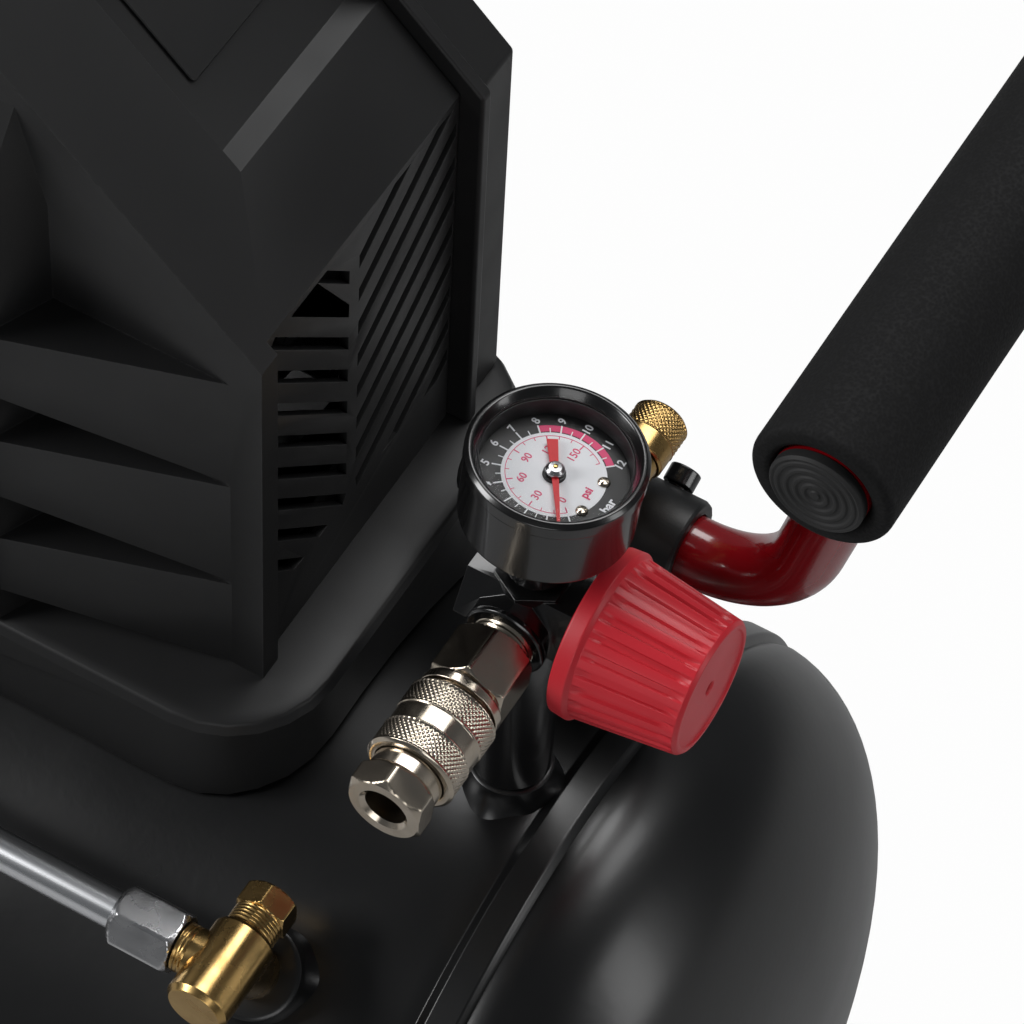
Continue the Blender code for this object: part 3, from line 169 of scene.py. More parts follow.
class PatternLibrary:
    """Node groups shared by the finishes, each built once."""

    VECTOR = ("Vector", "NodeSocketVector", None)
    SCALE = ("Scale", "NodeSocketFloat", 1000.0)
    OUTPUTS = (("Height", "NodeSocketFloat"), ("Tone", "NodeSocketFloat"))

    def __init__(self) -> None:
        """Starts with no group built."""
        self.built: dict[str, bpy.types.NodeTree] = {}

    def get(self, name: str) -> bpy.types.NodeTree:
        """The group of that name, built at its first use."""
        if name not in self.built:
            self.built[name] = getattr(self, name)()
        return self.built[name]

    def surface_grain(self) -> bpy.types.NodeTree:
        """Fine spark-eroded grain of moulded plastic: two noises, the finer at a third of the height."""
        nodes, given, out = group_tree("surface_grain", (self.VECTOR, self.SCALE), self.OUTPUTS)
        coarse = nodes.add("ShaderNodeTexNoise", {"Vector": given.outputs[0], "Scale": given.outputs[1],
                                                  "Detail": 3.0, "Roughness": 0.65})
        finer = nodes.math("MULTIPLY", given.outputs[1], 2.7)
        fine = nodes.add("ShaderNodeTexNoise", {"Vector": given.outputs[0], "Scale": finer, "Detail": 2.0})
        mixed = nodes.math("MULTIPLY_ADD", fine.outputs["Fac"], 0.35)
        nodes.tree.links.new(coarse.outputs["Fac"], mixed.node.inputs[2])
        nodes.tree.links.new(mixed, out.inputs[0])
        slow = nodes.math("MULTIPLY", given.outputs[1], 0.02)
        tone = nodes.add("ShaderNodeTexNoise", {"Vector": given.outputs[0], "Scale": slow, "Detail": 4.0})
        nodes.tree.links.new(tone.outputs["Fac"], out.inputs[1])
        return nodes.tree

    def orange_peel(self) -> bpy.types.NodeTree:
        """Slow ripple of sprayed gloss paint, with a few raised specks."""
        nodes, given, out = group_tree("orange_peel", (self.VECTOR, self.SCALE), self.OUTPUTS)
        ripple = nodes.add("ShaderNodeTexNoise", {"Vector": given.outputs[0], "Scale": given.outputs[1],
                                                  "Detail": 1.5, "Roughness": 0.4, "Distortion": 0.4})
        quick = nodes.math("MULTIPLY", given.outputs[1], 1.3)
        specks = nodes.add("ShaderNodeTexVoronoi", {"Vector": given.outputs[0], "Scale": quick},
                           feature="F1")
        raised = nodes.stretch(specks.outputs["Distance"], 0.0, 0.09, 1.0, 0.0)
        height = nodes.math("MULTIPLY_ADD", raised, 0.25)
        nodes.tree.links.new(ripple.outputs["Fac"], height.node.inputs[2])
        nodes.tree.links.new(height, out.inputs[0])
        slow = nodes.math("MULTIPLY", given.outputs[1], 0.05)
        tone = nodes.add("ShaderNodeTexNoise", {"Vector": given.outputs[0], "Scale": slow, "Detail": 3.0})
        nodes.tree.links.new(tone.outputs["Fac"], out.inputs[1])
        return nodes.tree

    def turning_marks(self) -> bpy.types.NodeTree:
        """Tool marks of a lathe: noise over distance from the axis and height along it only."""
        nodes, given, out = group_tree("turning_marks", (self.VECTOR, self.SCALE), self.OUTPUTS)
        parts = nodes.add("ShaderNodeSeparateXYZ", {0: given.outputs[0]})
        squares = [nodes.math("MULTIPLY", parts.outputs[k], parts.outputs[k]) for k in (0, 1)]
        reach = nodes.math("SQRT", nodes.math("ADD", *squares))
        flat = nodes.add("ShaderNodeCombineXYZ", {0: reach, 1: parts.outputs[2]})
        lines = nodes.add("ShaderNodeTexNoise", {"Vector": flat.outputs[0], "Scale": given.outputs[1],
                                                 "Detail": 2.0, "Roughness": 0.7})
        nodes.tree.links.new(lines.outputs["Fac"], out.inputs[0])
        slow = nodes.math("MULTIPLY", given.outputs[1], 0.06)
        stain = nodes.add("ShaderNodeTexNoise", {"Vector": given.outputs[0], "Scale": slow, "Detail": 4.0})
        nodes.tree.links.new(stain.outputs["Fac"], out.inputs[1])
        return nodes.tree

    def brushed_lines(self) -> bpy.types.NodeTree:
        """Long drawn lines along X: noise whose X is slowed eighty times."""
        nodes, given, out = group_tree("brushed_lines", (self.VECTOR, self.SCALE), self.OUTPUTS)
        drawn = nodes.add("ShaderNodeVectorMath", {0: given.outputs[0], 1: (0.0125, 1.0, 1.0)},
                          operation="MULTIPLY")
        lines = nodes.add("ShaderNodeTexNoise", {"Vector": drawn.outputs[0], "Scale": given.outputs[1],
                                                 "Detail": 3.0, "Roughness": 0.7})
        nodes.tree.links.new(lines.outputs["Fac"], out.inputs[0])
        slow = nodes.math("MULTIPLY", given.outputs[1], 0.2)
        tone = nodes.add("ShaderNodeTexNoise", {"Vector": drawn.outputs[0], "Scale": slow, "Detail": 3.0})
        nodes.tree.links.new(tone.outputs["Fac"], out.inputs[1])
        return nodes.tree

    def foam_cells(self) -> bpy.types.NodeTree:
        """Closed cells of a skinned foam: small pits between cell walls, over a slow unevenness."""
        nodes, given, out = group_tree("foam_cells", (self.VECTOR, self.SCALE), self.OUTPUTS)
        cells = nodes.add("ShaderNodeTexVoronoi", {"Vector": given.outputs[0], "Scale": given.outputs[1],
                                                   "Randomness": 1.0}, feature="SMOOTH_F1")
        slow = nodes.math("MULTIPLY", given.outputs[1], 0.12)
        lumps = nodes.add("ShaderNodeTexNoise", {"Vector": given.outputs[0], "Scale": slow, "Detail": 4.0})
        height = nodes.math("MULTIPLY_ADD", cells.outputs["Distance"], 0.8)
        nodes.tree.links.new(lumps.outputs["Fac"], height.node.inputs[2])
        nodes.tree.links.new(height, out.inputs[0])
        nodes.tree.links.new(cells.outputs["Distance"], out.inputs[1])
        return nodes.tree

    def sand_cast(self) -> bpy.types.NodeTree:
        """Rough skin of a sand casting: a coarse noise with pits."""
        nodes, given, out = group_tree("sand_cast", (self.VECTOR, self.SCALE), self.OUTPUTS)
        rough = nodes.add("ShaderNodeTexNoise", {"Vector": given.outputs[0], "Scale": given.outputs[1],
                                                 "Detail": 6.0, "Roughness": 0.7})
        pits = nodes.add("ShaderNodeTexVoronoi", {"Vector": given.outputs[0], "Scale": given.outputs[1]})
        deep = nodes.stretch(pits.outputs["Distance"], 0.0, 0.2, -0.5, 0.0)
        height = nodes.math("ADD", rough.outputs["Fac"], deep)
        nodes.tree.links.new(height, out.inputs[0])
        nodes.tree.links.new(rough.outputs["Fac"], out.inputs[1])
        return nodes.tree

    def edge_wear(self) -> bpy.types.NodeTree:
        """Mask of edges: how far a softened normal leaves the true one, broken up by noise. It marks rubbed
        edges, and on the cowl it lays a painted edge highlight.
        """
        inputs = (self.VECTOR, ("Radius", "NodeSocketFloat", 0.0005), ("Amount", "NodeSocketFloat", 0.5))
        nodes, given, out = group_tree("edge_wear", inputs, (("Mask", "NodeSocketFloat"),))
        soft = nodes.add("ShaderNodeBevel", {"Radius": given.outputs[1]}, samples=4)
        true = nodes.add("ShaderNodeNewGeometry")
        match = nodes.add("ShaderNodeVectorMath", {0: soft.outputs[0], 1: true.outputs["Normal"]},
                          operation="DOT_PRODUCT")
        edge = nodes.stretch(match.outputs["Value"], 0.995, 0.90, 0.0, 1.0)
        broken = nodes.add("ShaderNodeTexNoise", {"Vector": given.outputs[0], "Scale": 900.0, "Detail": 4.0})
        # Edge band broken up by noise: rubbed edges, and the cowl's painted edge highlight.
        rubbed_and_lit = nodes.math("MULTIPLY", edge, nodes.stretch(broken.outputs["Fac"], 0.38, 0.62))
        mask = nodes.math("MULTIPLY", rubbed_and_lit, given.outputs[2], clamp=True)
        nodes.tree.links.new(mask, out.inputs[0])
        return nodes.tree

    def dust(self) -> bpy.types.NodeTree:
        """Mask of settled dust: faces that look up, broken up by noise."""
        inputs = (self.VECTOR, ("Amount", "NodeSocketFloat", 0.1))
        nodes, given, out = group_tree("dust", inputs, (("Mask", "NodeSocketFloat"),))
        true = nodes.add("ShaderNodeNewGeometry")
        parts = nodes.add("ShaderNodeSeparateXYZ", {0: true.outputs["Normal"]})
        upward = nodes.stretch(parts.outputs[2], 0.3, 1.0)
        cloud = nodes.add("ShaderNodeTexNoise", {"Vector": given.outputs[0], "Scale": 60.0, "Detail": 8.0,
                                                 "Roughness": 0.7})
        settled = nodes.math("MULTIPLY", upward, nodes.stretch(cloud.outputs["Fac"], 0.42, 0.75))
        mask = nodes.math("MULTIPLY", settled, given.outputs[1], clamp=True)
        nodes.tree.links.new(mask, out.inputs[0])
        return nodes.tree


PATTERNS = PatternLibrary()


# ---------------------------------------------------------------- finishes


@dataclass(frozen=True)
class Place:
    """Where a turned piece sits: a point of its axis and the way the axis runs."""

    at: Spot = (0.0, 0.0, 0.0)
    along: Spot = Z_AXIS

    def turn(self) -> Matrix:
        """The rotation that carries local Z to the axis."""
        return Vector(Z_AXIS).rotation_difference(Vector(self.along).normalized()).to_matrix()

    def matrix(self) -> Matrix:
        """Millimetres from the piece's own origin to metres in the frame."""
        lift = Matrix.Translation((PORT + Vector(self.at)) * MM)
        return lift @ self.turn().to_4x4() @ Matrix.Scale(MM, 4)


DUST_COLOUR = (0.28, 0.27, 0.26, 1.0)
DUST_ROUGHNESS = 0.6


@dataclass(frozen=True)
class Finish:
    """One finish: its colours, gloss, relief, edge marks and dust, in a maker's terms. The edge marks are
    rubbing on most finishes and a painted edge highlight on the cowl.
    """

    name: str
    slot: str
    colour: Spot
    shade: Spot
    roughness: float
    spread: float = 0.06
    metallic: float = 0.0
    specular: float = 0.5
    coat: float = 0.0
    coat_roughness: float = 0.05
    anisotropic: float = 0.0
    sheen: float = 0.0
    pattern: Pattern = Pattern.GRAIN
    per_metre: float = 2500.0
    relief_mm: float = 0.02
    wear: float = 0.0
    wear_mm: float = 0.35
    wear_colour: Spot = (0.30, 0.30, 0.30)
    dust: float = 0.04

    def material(self, axis: Optional[Place] = None) -> bpy.types.Material:
        """Builds the finish, or finds it if this piece's version exists.

        Args:
            axis: The axis of a turned piece, which centres marks that run round it.

        Returns:
            The material.
        """
        place = axis if self.pattern is Pattern.TURNED and axis else None
        label = self.name if place is None else self.name + "_" + "_".join(
            str(round(v)) for v in (*place.at, *(10.0 * w for w in place.along)))
        found = bpy.data.materials.get(label)
        return found if found is not None else self.build(label, place)

    def build(self, label: str, place: Optional[Place]) -> bpy.types.Material:
        """Lays out the node tree of one material."""
        material = bpy.data.materials.new(label)
        material.use_nodes = True
        material.node_tree.nodes.clear()
        nodes = Nodes(material.node_tree)
        spot = nodes.add("ShaderNodeTexCoord").outputs["Object"]
        if place is not None:
            centre = (PORT + Vector(place.at)) * MM
            back = place.turn().inverted()
            mapping = nodes.add("ShaderNodeMapping", {"Vector": spot}, vector_type="POINT")
            mapping.inputs["Rotation"].default_value = back.to_euler("XYZ")
            mapping.inputs["Location"].default_value = -(back @ centre)
            spot = mapping.outputs[0]
        relief = nodes.add("ShaderNodeGroup", node_tree=PATTERNS.get(self.pattern.value))
        nodes.tree.links.new(spot, relief.inputs[0])
        relief.inputs[1].default_value = self.per_metre
        tone = nodes.stretch(relief.outputs[1], 0.3, 0.7)
        colour = nodes.blend(tone, (*self.shade, 1.0), (*self.colour, 1.0))
        rough = nodes.stretch(relief.outputs[1], 0.3, 0.7, self.roughness + self.spread,
                              max(self.roughness - self.spread, 0.02))
        # Edge marks: rubbed edges, and on the cowl a painted edge highlight in a lighter grey.
        if self.wear > 0.0:
            worn_and_lit_edges = nodes.add("ShaderNodeGroup", node_tree=PATTERNS.get("edge_wear"))
            nodes.tree.links.new(spot, worn_and_lit_edges.inputs[0])
            worn_and_lit_edges.inputs[1].default_value = self.wear_mm * MM
            worn_and_lit_edges.inputs[2].default_value = self.wear
            colour = nodes.blend(worn_and_lit_edges.outputs[0], colour, (*self.wear_colour, 1.0))
        if self.dust > 0.0:
            dusty = nodes.add("ShaderNodeGroup", node_tree=PATTERNS.get("dust"))
            nodes.tree.links.new(spot, dusty.inputs[0])
            dusty.inputs[1].default_value = self.dust
            colour = nodes.blend(dusty.outputs[0], colour, DUST_COLOUR)
            duller = nodes.math("MULTIPLY_ADD", dusty.outputs[0], DUST_ROUGHNESS)
            nodes.tree.links.new(rough, duller.node.inputs[2])
            rough = duller
        bump = nodes.add("ShaderNodeBump", {"Strength": 1.0, "Distance": self.relief_mm * MM,
                                            "Height": relief.outputs[0]})
        shader = nodes.add("ShaderNodeBsdfPrincipled", {
            "Base Color": colour, "Roughness": rough, "Normal": bump.outputs[0], "Metallic": self.metallic,
            "Specular IOR Level": self.specular, "Coat Weight": self.coat,
            "Coat Roughness": self.coat_roughness, "Anisotropic": self.anisotropic,
            "Sheen Weight": self.sheen})
        nodes.add("ShaderNodeOutputMaterial", {"Surface": shader.outputs[0]})
        return material


@dataclass(frozen=True)
class ClearGlass:
    """The gauge's lens: a thin clear disc that lets the dial show and keeps a faint gloss."""

    name: str = "clear_lens"
    slot: str = "lens"
    cover: float = 0.035
    roughness: float = 0.04

    def material(self, axis: Optional[Place] = None) -> bpy.types.Material:
        """Builds the lens material, with a trace of haze that varies over the disc."""
        found = bpy.data.materials.get(self.name)
        if found is not None:
            return found
        material = bpy.data.materials.new(self.name)
        material.use_nodes = True
        material.node_tree.nodes.clear()
        nodes = Nodes(material.node_tree)
        spot = nodes.add("ShaderNodeTexCoord").outputs["Object"]
        haze = nodes.add("ShaderNodeTexNoise", {"Vector": spot, "Scale": 90.0, "Detail": 5.0})
        alpha = nodes.stretch(haze.outputs["Fac"], 0.3, 0.7, self.cover, self.cover * 1.5)
        rough = nodes.stretch(haze.outputs["Fac"], 0.3, 0.7, self.roughness, self.roughness * 2.0)
        shader = nodes.add("ShaderNodeBsdfPrincipled", {
            "Base Color": (0.01, 0.01, 0.01, 1.0), "Roughness": rough, "Alpha": alpha,
            "Specular IOR Level": 0.6, "Coat Weight": 0.5, "Coat Roughness": 0.02})
        nodes.add("ShaderNodeOutputMaterial", {"Surface": shader.outputs[0]})
        return material


class Finishes:
    """Every finish of the machine."""

    TANK = Finish("tank_gloss_black", "tank_paint", (0.0042, 0.0042, 0.0045), (0.0032, 0.0032, 0.0034), 0.30,
                  spread=0.03, coat=0.12, coat_roughness=0.16, pattern=Pattern.ORANGE_PEEL, per_metre=420.0,
                  relief_mm=0.018, dust=0.006)
    FITTING = replace(TANK, name="fitting_gloss_black", slot="black_gloss", roughness=0.22, per_metre=600.0,
                      relief_mm=0.015, coat=0.3, coat_roughness=0.08)
    SOCKET = Finish("satin_black_powder", "black_steel", (0.0085, 0.0085, 0.0088),
                    (0.006, 0.006, 0.0062), 0.42,
                    pattern=Pattern.ORANGE_PEEL, per_metre=1500.0, relief_mm=0.03, dust=0.01)
    GAUGE = Finish("gauge_gloss_black", "black_gloss", (0.0045, 0.0045, 0.0047),
                   (0.0035, 0.0035, 0.0037), 0.22,
                   spread=0.02, coat=0.3, coat_roughness=0.06, pattern=Pattern.ORANGE_PEEL, per_metre=350.0,
                   relief_mm=0.006, dust=0.004)
    # The cowl's lighter edge colour, laid along every edge, is a painted edge highlight and not rubbing.
    COWL = Finish("grained_cowl_plastic", "cowl_plastic", (0.0098, 0.0098, 0.0101),
                  (0.0082, 0.0082, 0.0085), 0.46,
                  spread=0.03, specular=0.36, per_metre=2300.0, relief_mm=0.014, wear=0.55,
                  wear_colour=(0.042, 0.042, 0.043), wear_mm=0.6, dust=0.003)
    KNOB = Finish("knob_red_plastic", "knob_red", (0.560, 0.0210, 0.0330), (0.480, 0.0160, 0.0260), 0.40,
                  spread=0.05, specular=0.4, per_metre=1400.0, relief_mm=0.014, wear=0.10,
                  wear_colour=(0.66, 0.08, 0.095), wear_mm=0.3, dust=0.004)
    STEM = Finish("stem_red_enamel", "handle_red", (0.24, 0.0020, 0.0060), (0.20, 0.0015, 0.0045), 0.22,
                  spread=0.02, coat=0.7, coat_roughness=0.06, pattern=Pattern.ORANGE_PEEL, per_metre=260.0,
                  relief_mm=0.02, dust=0.006)
    NEEDLE = Finish("needle_red_paint", "needle_red", (0.62, 0.010, 0.016), (0.55, 0.008, 0.012), 0.45,
                    per_metre=2500.0, relief_mm=0.003, dust=0.0)
    PINK_INK = replace(NEEDLE, name="dial_pink_ink", slot="dial", colour=(0.68, 0.035, 0.15),
                       shade=(0.62, 0.03, 0.13))
    DIAL_WHITE = Finish("dial_white_card", "dial", (0.80, 0.81, 0.84), (0.76, 0.77, 0.80), 0.5,
                        per_metre=4000.0, relief_mm=0.002, dust=0.0)
    DIAL_BLACK = replace(DIAL_WHITE, name="dial_black_card", colour=(0.0065, 0.0065, 0.007),
                         shade=(0.0050, 0.0050, 0.0055), roughness=0.45)
    NICKEL = Finish("nickel_plate", "nickel", (0.54, 0.475, 0.395), (0.44, 0.385, 0.31), 0.21, metallic=1.0,
                    spread=0.06, anisotropic=0.3, pattern=Pattern.TURNED, per_metre=2600.0, relief_mm=0.006,
                    wear=0.30, wear_colour=(0.78, 0.73, 0.66), wear_mm=0.25, dust=0.008)
    BRASS = Finish("turned_brass", "brass", (0.52, 0.345, 0.135), (0.41, 0.26, 0.095), 0.25, metallic=1.0,
                   spread=0.08, anisotropic=0.3, pattern=Pattern.TURNED, per_metre=2200.0, relief_mm=0.008,
                   wear=0.3, wear_colour=(0.85, 0.62, 0.28), wear_mm=0.25, dust=0.008)
    STEEL = Finish("bright_steel", "steel", (0.56, 0.56, 0.57), (0.46, 0.46, 0.47), 0.26, metallic=1.0,
                   pattern=Pattern.TURNED, per_metre=2400.0, relief_mm=0.006, wear=0.25,
                   wear_colour=(0.8, 0.8, 0.8), wear_mm=0.3, dust=0.01)
    ALUMINIUM = Finish("drawn_aluminium", "aluminium", (0.74, 0.75, 0.77), (0.62, 0.63, 0.65), 0.30,
                       metallic=1.0, spread=0.08, anisotropic=0.4, pattern=Pattern.BRUSHED, per_metre=1600.0,
                       relief_mm=0.01, dust=0.008)
    CASTING = Finish("sand_cast_alloy", "casting", (0.36, 0.37, 0.38), (0.24, 0.25, 0.26), 0.55, metallic=1.0,
                     pattern=Pattern.CAST, per_metre=420.0, relief_mm=0.16, dust=0.05)
    IRON = replace(CASTING, name="cast_iron", colour=(0.10, 0.10, 0.105), shade=(0.06, 0.06, 0.065))
    FOAM = Finish("black_grip_foam", "foam", (0.0050, 0.0050, 0.0053), (0.0032, 0.0032, 0.0034), 0.78,
                  spread=0.05, specular=0.22, sheen=0.0, pattern=Pattern.FOAM, per_metre=1500.0,
                  relief_mm=0.085, dust=0.004)
    RUBBER = Finish("moulded_rubber", "rubber", (0.0115, 0.0115, 0.0118), (0.008, 0.008, 0.0082), 0.62,
                    specular=0.4, per_metre=1800.0, relief_mm=0.02, dust=0.03)
    TYRE = replace(RUBBER, name="tyre_rubber", slot="wheel_rubber", roughness=0.7, per_metre=900.0,
                   relief_mm=0.05, dust=0.07)
    WHEEL = Finish("wheel_black_plastic", "wheel_plastic", (0.011, 0.011, 0.0115),
                   (0.008, 0.008, 0.0085), 0.4,
                   per_metre=1600.0, relief_mm=0.02, wear=0.3, wear_colour=(0.06, 0.06, 0.06), dust=0.04)
    BUTTON = replace(KNOB, name="switch_red_plastic")
    LENS = ClearGlass()


# ---------------------------------------------------------------- surfaces


def grid_faces(rows: int, columns: int, wrap_rows: bool, wrap_columns: bool = True) -> np.ndarray:
    """Quads that join neighbours on a grid of points, numbered row by row."""
    row = np.arange(rows if wrap_rows else rows - 1)
    column = np.arange(columns if wrap_columns else columns - 1)
    low, left = np.meshgrid(row, column, indexing="ij")
    high, right = (low + 1) % rows, (left + 1) % columns
    corners = (low * columns + left, low * columns + right, high * columns + right, high * columns + left)
    return np.stack(corners, axis=-1).reshape(-1, 4)


def arc_corner(before: np.ndarray, corner: np.ndarray, after: np.ndarray, radius: float,
               steps: int) -> list[np.ndarray]:
    """An arc that is tangent to both sides of a corner, as points; a straight corner stays one point."""
    back, ahead = before - corner, after - corner
    lengths = np.linalg.norm(back), np.linalg.norm(ahead)
    if min(lengths) < 1e-9:
        return [corner]
    back, ahead = back / lengths[0], ahead / lengths[1]
    half = math.acos(float(np.clip(back @ ahead, -1.0, 1.0))) / 2.0
    if half < 0.05 or half > math.pi / 2.0 - 0.04:
        return [corner]
    reach = min(radius / math.tan(half), 0.48 * min(lengths))
    size = reach * math.tan(half)
    middle = back + ahead
    centre = corner + middle / np.linalg.norm(middle) * size / math.sin(half)
    first, last = corner + back * reach - centre, corner + ahead * reach - centre
    sweep = math.pi - 2.0 * half
    shares = np.linspace(0.0, 1.0, steps + 1)
    weights = np.stack([np.sin((1.0 - shares) * sweep), np.sin(shares * sweep)], axis=1) / math.sin(sweep)
    return list(centre + weights @ np.stack([first, last]))


def rounded(profile: Sequence, radius: float, steps: int = 3, closed: bool = False) -> np.ndarray:
    """A profile or route whose corners are arcs of one radius, or less where a side is short.

    Args:
        profile: Points of any dimension.
        radius: Radius of the arcs.
        steps: Facets of each arc.
        closed: Whether the last point joins the first.

    Returns:
        The points as an array.
    """
    points = [np.asarray(p, dtype=float) for p in profile]
    ends = range(len(points)) if closed else range(1, len(points) - 1)
    made = [] if closed else [points[0]]
    for k in ends:
        made += arc_corner(points[k - 1], points[k], points[(k + 1) % len(points)], radius, steps)
    if not closed:
        made.append(points[-1])
    return np.array(made)


def make_object(name: str, verts: np.ndarray, faces, matrix: Optional[Matrix] = None,
                sharp: float = 32.0, merge: float = 2e-6) -> bpy.types.Object:
    """A finished mesh object: doubles merged, normals outward, smooth between sharp edges.

    Args:
        name: The piece's name.
        verts: Points, in the matrix's units.
        faces: Corner numbers of each face.
        matrix: Carries the points to metres in the frame.
        sharp: Edges sharper than this many degrees stay sharp.
        merge: Points closer than this, in metres, become one.

    Returns:
        The object, at the origin.
    """
    mesh = bpy.data.meshes.new(name)
    mesh.from_pydata(np.asarray(verts).tolist(), [], [list(face) for face in faces])
    if matrix is not None:
        mesh.transform(matrix)
    bm = bmesh.new()
    bm.from_mesh(mesh)
    bmesh.ops.remove_doubles(bm, verts=bm.verts[:], dist=merge)
    bmesh.ops.dissolve_degenerate(bm, edges=bm.edges[:], dist=merge / 4.0)
    bmesh.ops.recalc_face_normals(bm, faces=bm.faces[:])
    bm.to_mesh(mesh)
    bm.free()
    return finish_object(name, mesh, sharp)


def finish_object(name: str, mesh: bpy.types.Mesh, sharp: float) -> bpy.types.Object:
    """Links a mesh as an object with smooth shading and face-weighted normals."""
    mesh.shade_smooth()
    mesh.set_sharp_from_angle(angle=math.radians(sharp))
    item = bpy.data.objects.new(name, mesh)
    bpy.context.scene.collection.objects.link(item)
    weigh = item.modifiers.new("Face weighted normals", "WEIGHTED_NORMAL")
    weigh.keep_sharp = True
    weigh.weight = 60
    return item


def revolve(name: str, profile: Profile, place: Place = Place(), steps: int = 96,
            shape: Optional[Shape] = None, sharp: float = 32.0) -> bpy.types.Object:
    """A turned surface: radius and height along the profile, carried round the axis.

    The radius at angle t is the profile's, or shape(t, radius, height) where one is given. A profile
    that doesn't start and end on the axis is closed into a ring.

    Args:
        name: The piece's name.
        profile: Radius and height of each point, in millimetres.
        place: The axis.
        steps: Points round the axis.
        shape: Changes the radius with the angle, for flats, ribs and knurls.
        sharp: Edges sharper than this many degrees stay sharp.

    Returns:
        The object.
    """
    points = np.asarray(profile, dtype=float)
    angle = np.arange(steps)[None, :] * TAU / steps
    radius = np.repeat(points[:, :1], steps, axis=1)
    height = np.repeat(points[:, 1:2], steps, axis=1)
    if shape is not None:
        radius = shape(angle, radius, height)
    verts = np.stack([radius * np.cos(angle), radius * np.sin(angle), height], axis=-1).reshape(-1, 3)
    ring = points[0, 0] > 1e-6 or points[-1, 0] > 1e-6
    return make_object(name, verts, grid_faces(len(points), steps, ring), place.matrix(), sharp)


def sweep(name: str, route: np.ndarray, radius: float, sides: int = 32,
          up: Spot = Y_AXIS) -> bpy.types.Object:
    """A round bar along a route, with flat ends: circles square to the route, turned by one fixed `up`."""
    points = np.asarray(route, dtype=float)
    tangent = np.gradient(points, axis=0)
    tangent /= np.linalg.norm(tangent, axis=1, keepdims=True)
    side = np.cross(tangent, np.asarray(up, dtype=float))
    side /= np.linalg.norm(side, axis=1, keepdims=True)
    rise = np.cross(side, tangent)
    angle = np.arange(sides) * TAU / sides
    ring = side[:, None, :] * np.cos(angle)[None, :, None] + rise[:, None, :] * np.sin(angle)[None, :, None]
    verts = (points[:, None, :] + ring * radius).reshape(-1, 3)
    faces = [tuple(f) for f in grid_faces(len(points), sides, False)]
    last = (len(points) - 1) * sides
    faces += [tuple(range(sides))[::-1], tuple(range(last, last + sides))]
    return make_object(name, verts, faces, Place().matrix())


def softened(node: str, width: float, segments: int = 3, name: Optional[str] = None,
             keep: float = 28.0) -> bpy.types.Object:
    """A copy of a frame node with its edges rounded, which stands for it."""
    mesh = frame["nodes"][node].data.copy()
    bm = bmesh.new()
    bm.from_mesh(mesh)
    bmesh.ops.remove_doubles(bm, verts=bm.verts[:], dist=3e-6)
    bmesh.ops.dissolve_limit(bm, angle_limit=math.radians(0.5), verts=bm.verts[:], edges=bm.edges[:])
    bm.to_mesh(mesh)
    bm.free()
    mesh.materials.clear()
    mesh.shade_smooth()
    mesh.set_sharp_from_angle(angle=math.radians(keep))
    item = bpy.data.objects.new(name or f"{node}_fine", mesh)
    bpy.context.scene.collection.objects.link(item)
    edge = item.modifiers.new("Edge", "BEVEL")
    edge.width = width * MM
    edge.segments = segments
    edge.limit_method = "ANGLE"
    edge.angle_limit = math.radians(keep)
    edge.miter_outer = "MITER_ARC"
    edge.harden_normals = True
    return item


def hexagon(across: float, clip: float = 0.012) -> Shape:
    """Six flats: the radius is the smaller of the profile's and flat / cos(angle from the flat's middle).

    The corner is clipped a little short, as on a rolled bar.
    """
    flat = across / 2.0
    sixth = math.pi / 3.0

    def shape(angle: np.ndarray, radius: np.ndarray, height: np.ndarray) -> np.ndarray:
        """Radius of the bar."""
        off = (angle + sixth / 2.0) % sixth - sixth / 2.0
        bar = np.minimum(flat / np.cos(off), flat / math.cos(sixth / 2.0) * (1.0 - clip))
        return np.minimum(radius, bar)
    return shape


def diamond_knurl(count: int, pitch: float, depth: float, bands: Sequence[tuple[float, float]]) -> Shape:
    """A diamond knurl: each point is cut by the deeper of two crossed families of grooves.

    Args:
        count: Diamonds round the piece.
        pitch: Height of one diamond.
        depth: Depth of the grooves.
        bands: The heights between which the knurl runs.

    Returns:
        The shape function.
    """
    def shape(angle: np.ndarray, radius: np.ndarray, height: np.ndarray) -> np.ndarray:
        """Radius less the grooves, inside the bands."""
        turn = count * angle / TAU
        ridge = [1.0 - np.abs(2.0 * ((turn + side * height / pitch) % 1.0) - 1.0) for side in (1.0, -1.0)]
        cut = depth * (1.0 - np.minimum(*ridge))
        inside = np.zeros_like(height)
        for low, high in bands:
            fade = np.clip(np.minimum(height - low, high - height) / (0.3 * pitch) + 0.5, 0.0, 1.0)
            inside = np.maximum(inside, fade)
        return radius - cut * inside
    return shape


def ribs(count: int, depth: float, share: float, low: float, high: float, fade: float = 1.0) -> Shape:
    """Straight ribs: grooves with soft sides, fading out towards both heights."""
    def shape(angle: np.ndarray, radius: np.ndarray, height: np.ndarray) -> np.ndarray:
        """Radius less the grooves."""
        across = np.abs((count * angle / TAU) % 1.0 - 0.5) * 2.0
        groove = np.clip((share - across) / 0.22 + 0.5, 0.0, 1.0)
        groove = groove * groove * (3.0 - 2.0 * groove)
        inside = np.clip(np.minimum(height - low, high - height) / fade, 0.0, 1.0)
        return radius - depth * groove * inside
    return shape


def threads(pitch: float, depth: float, low: float, high: float) -> Shape:
    """A screw thread: a V groove whose height climbs one pitch in a turn."""
    def shape(angle: np.ndarray, radius: np.ndarray, height: np.ndarray) -> np.ndarray:
        """Radius less the thread."""
        wave = np.abs(((height / pitch + angle / TAU) % 1.0) * 2.0 - 1.0)
        inside = ((height > low) & (height < high)).astype(float)
        return radius - depth * wave * inside
    return shape


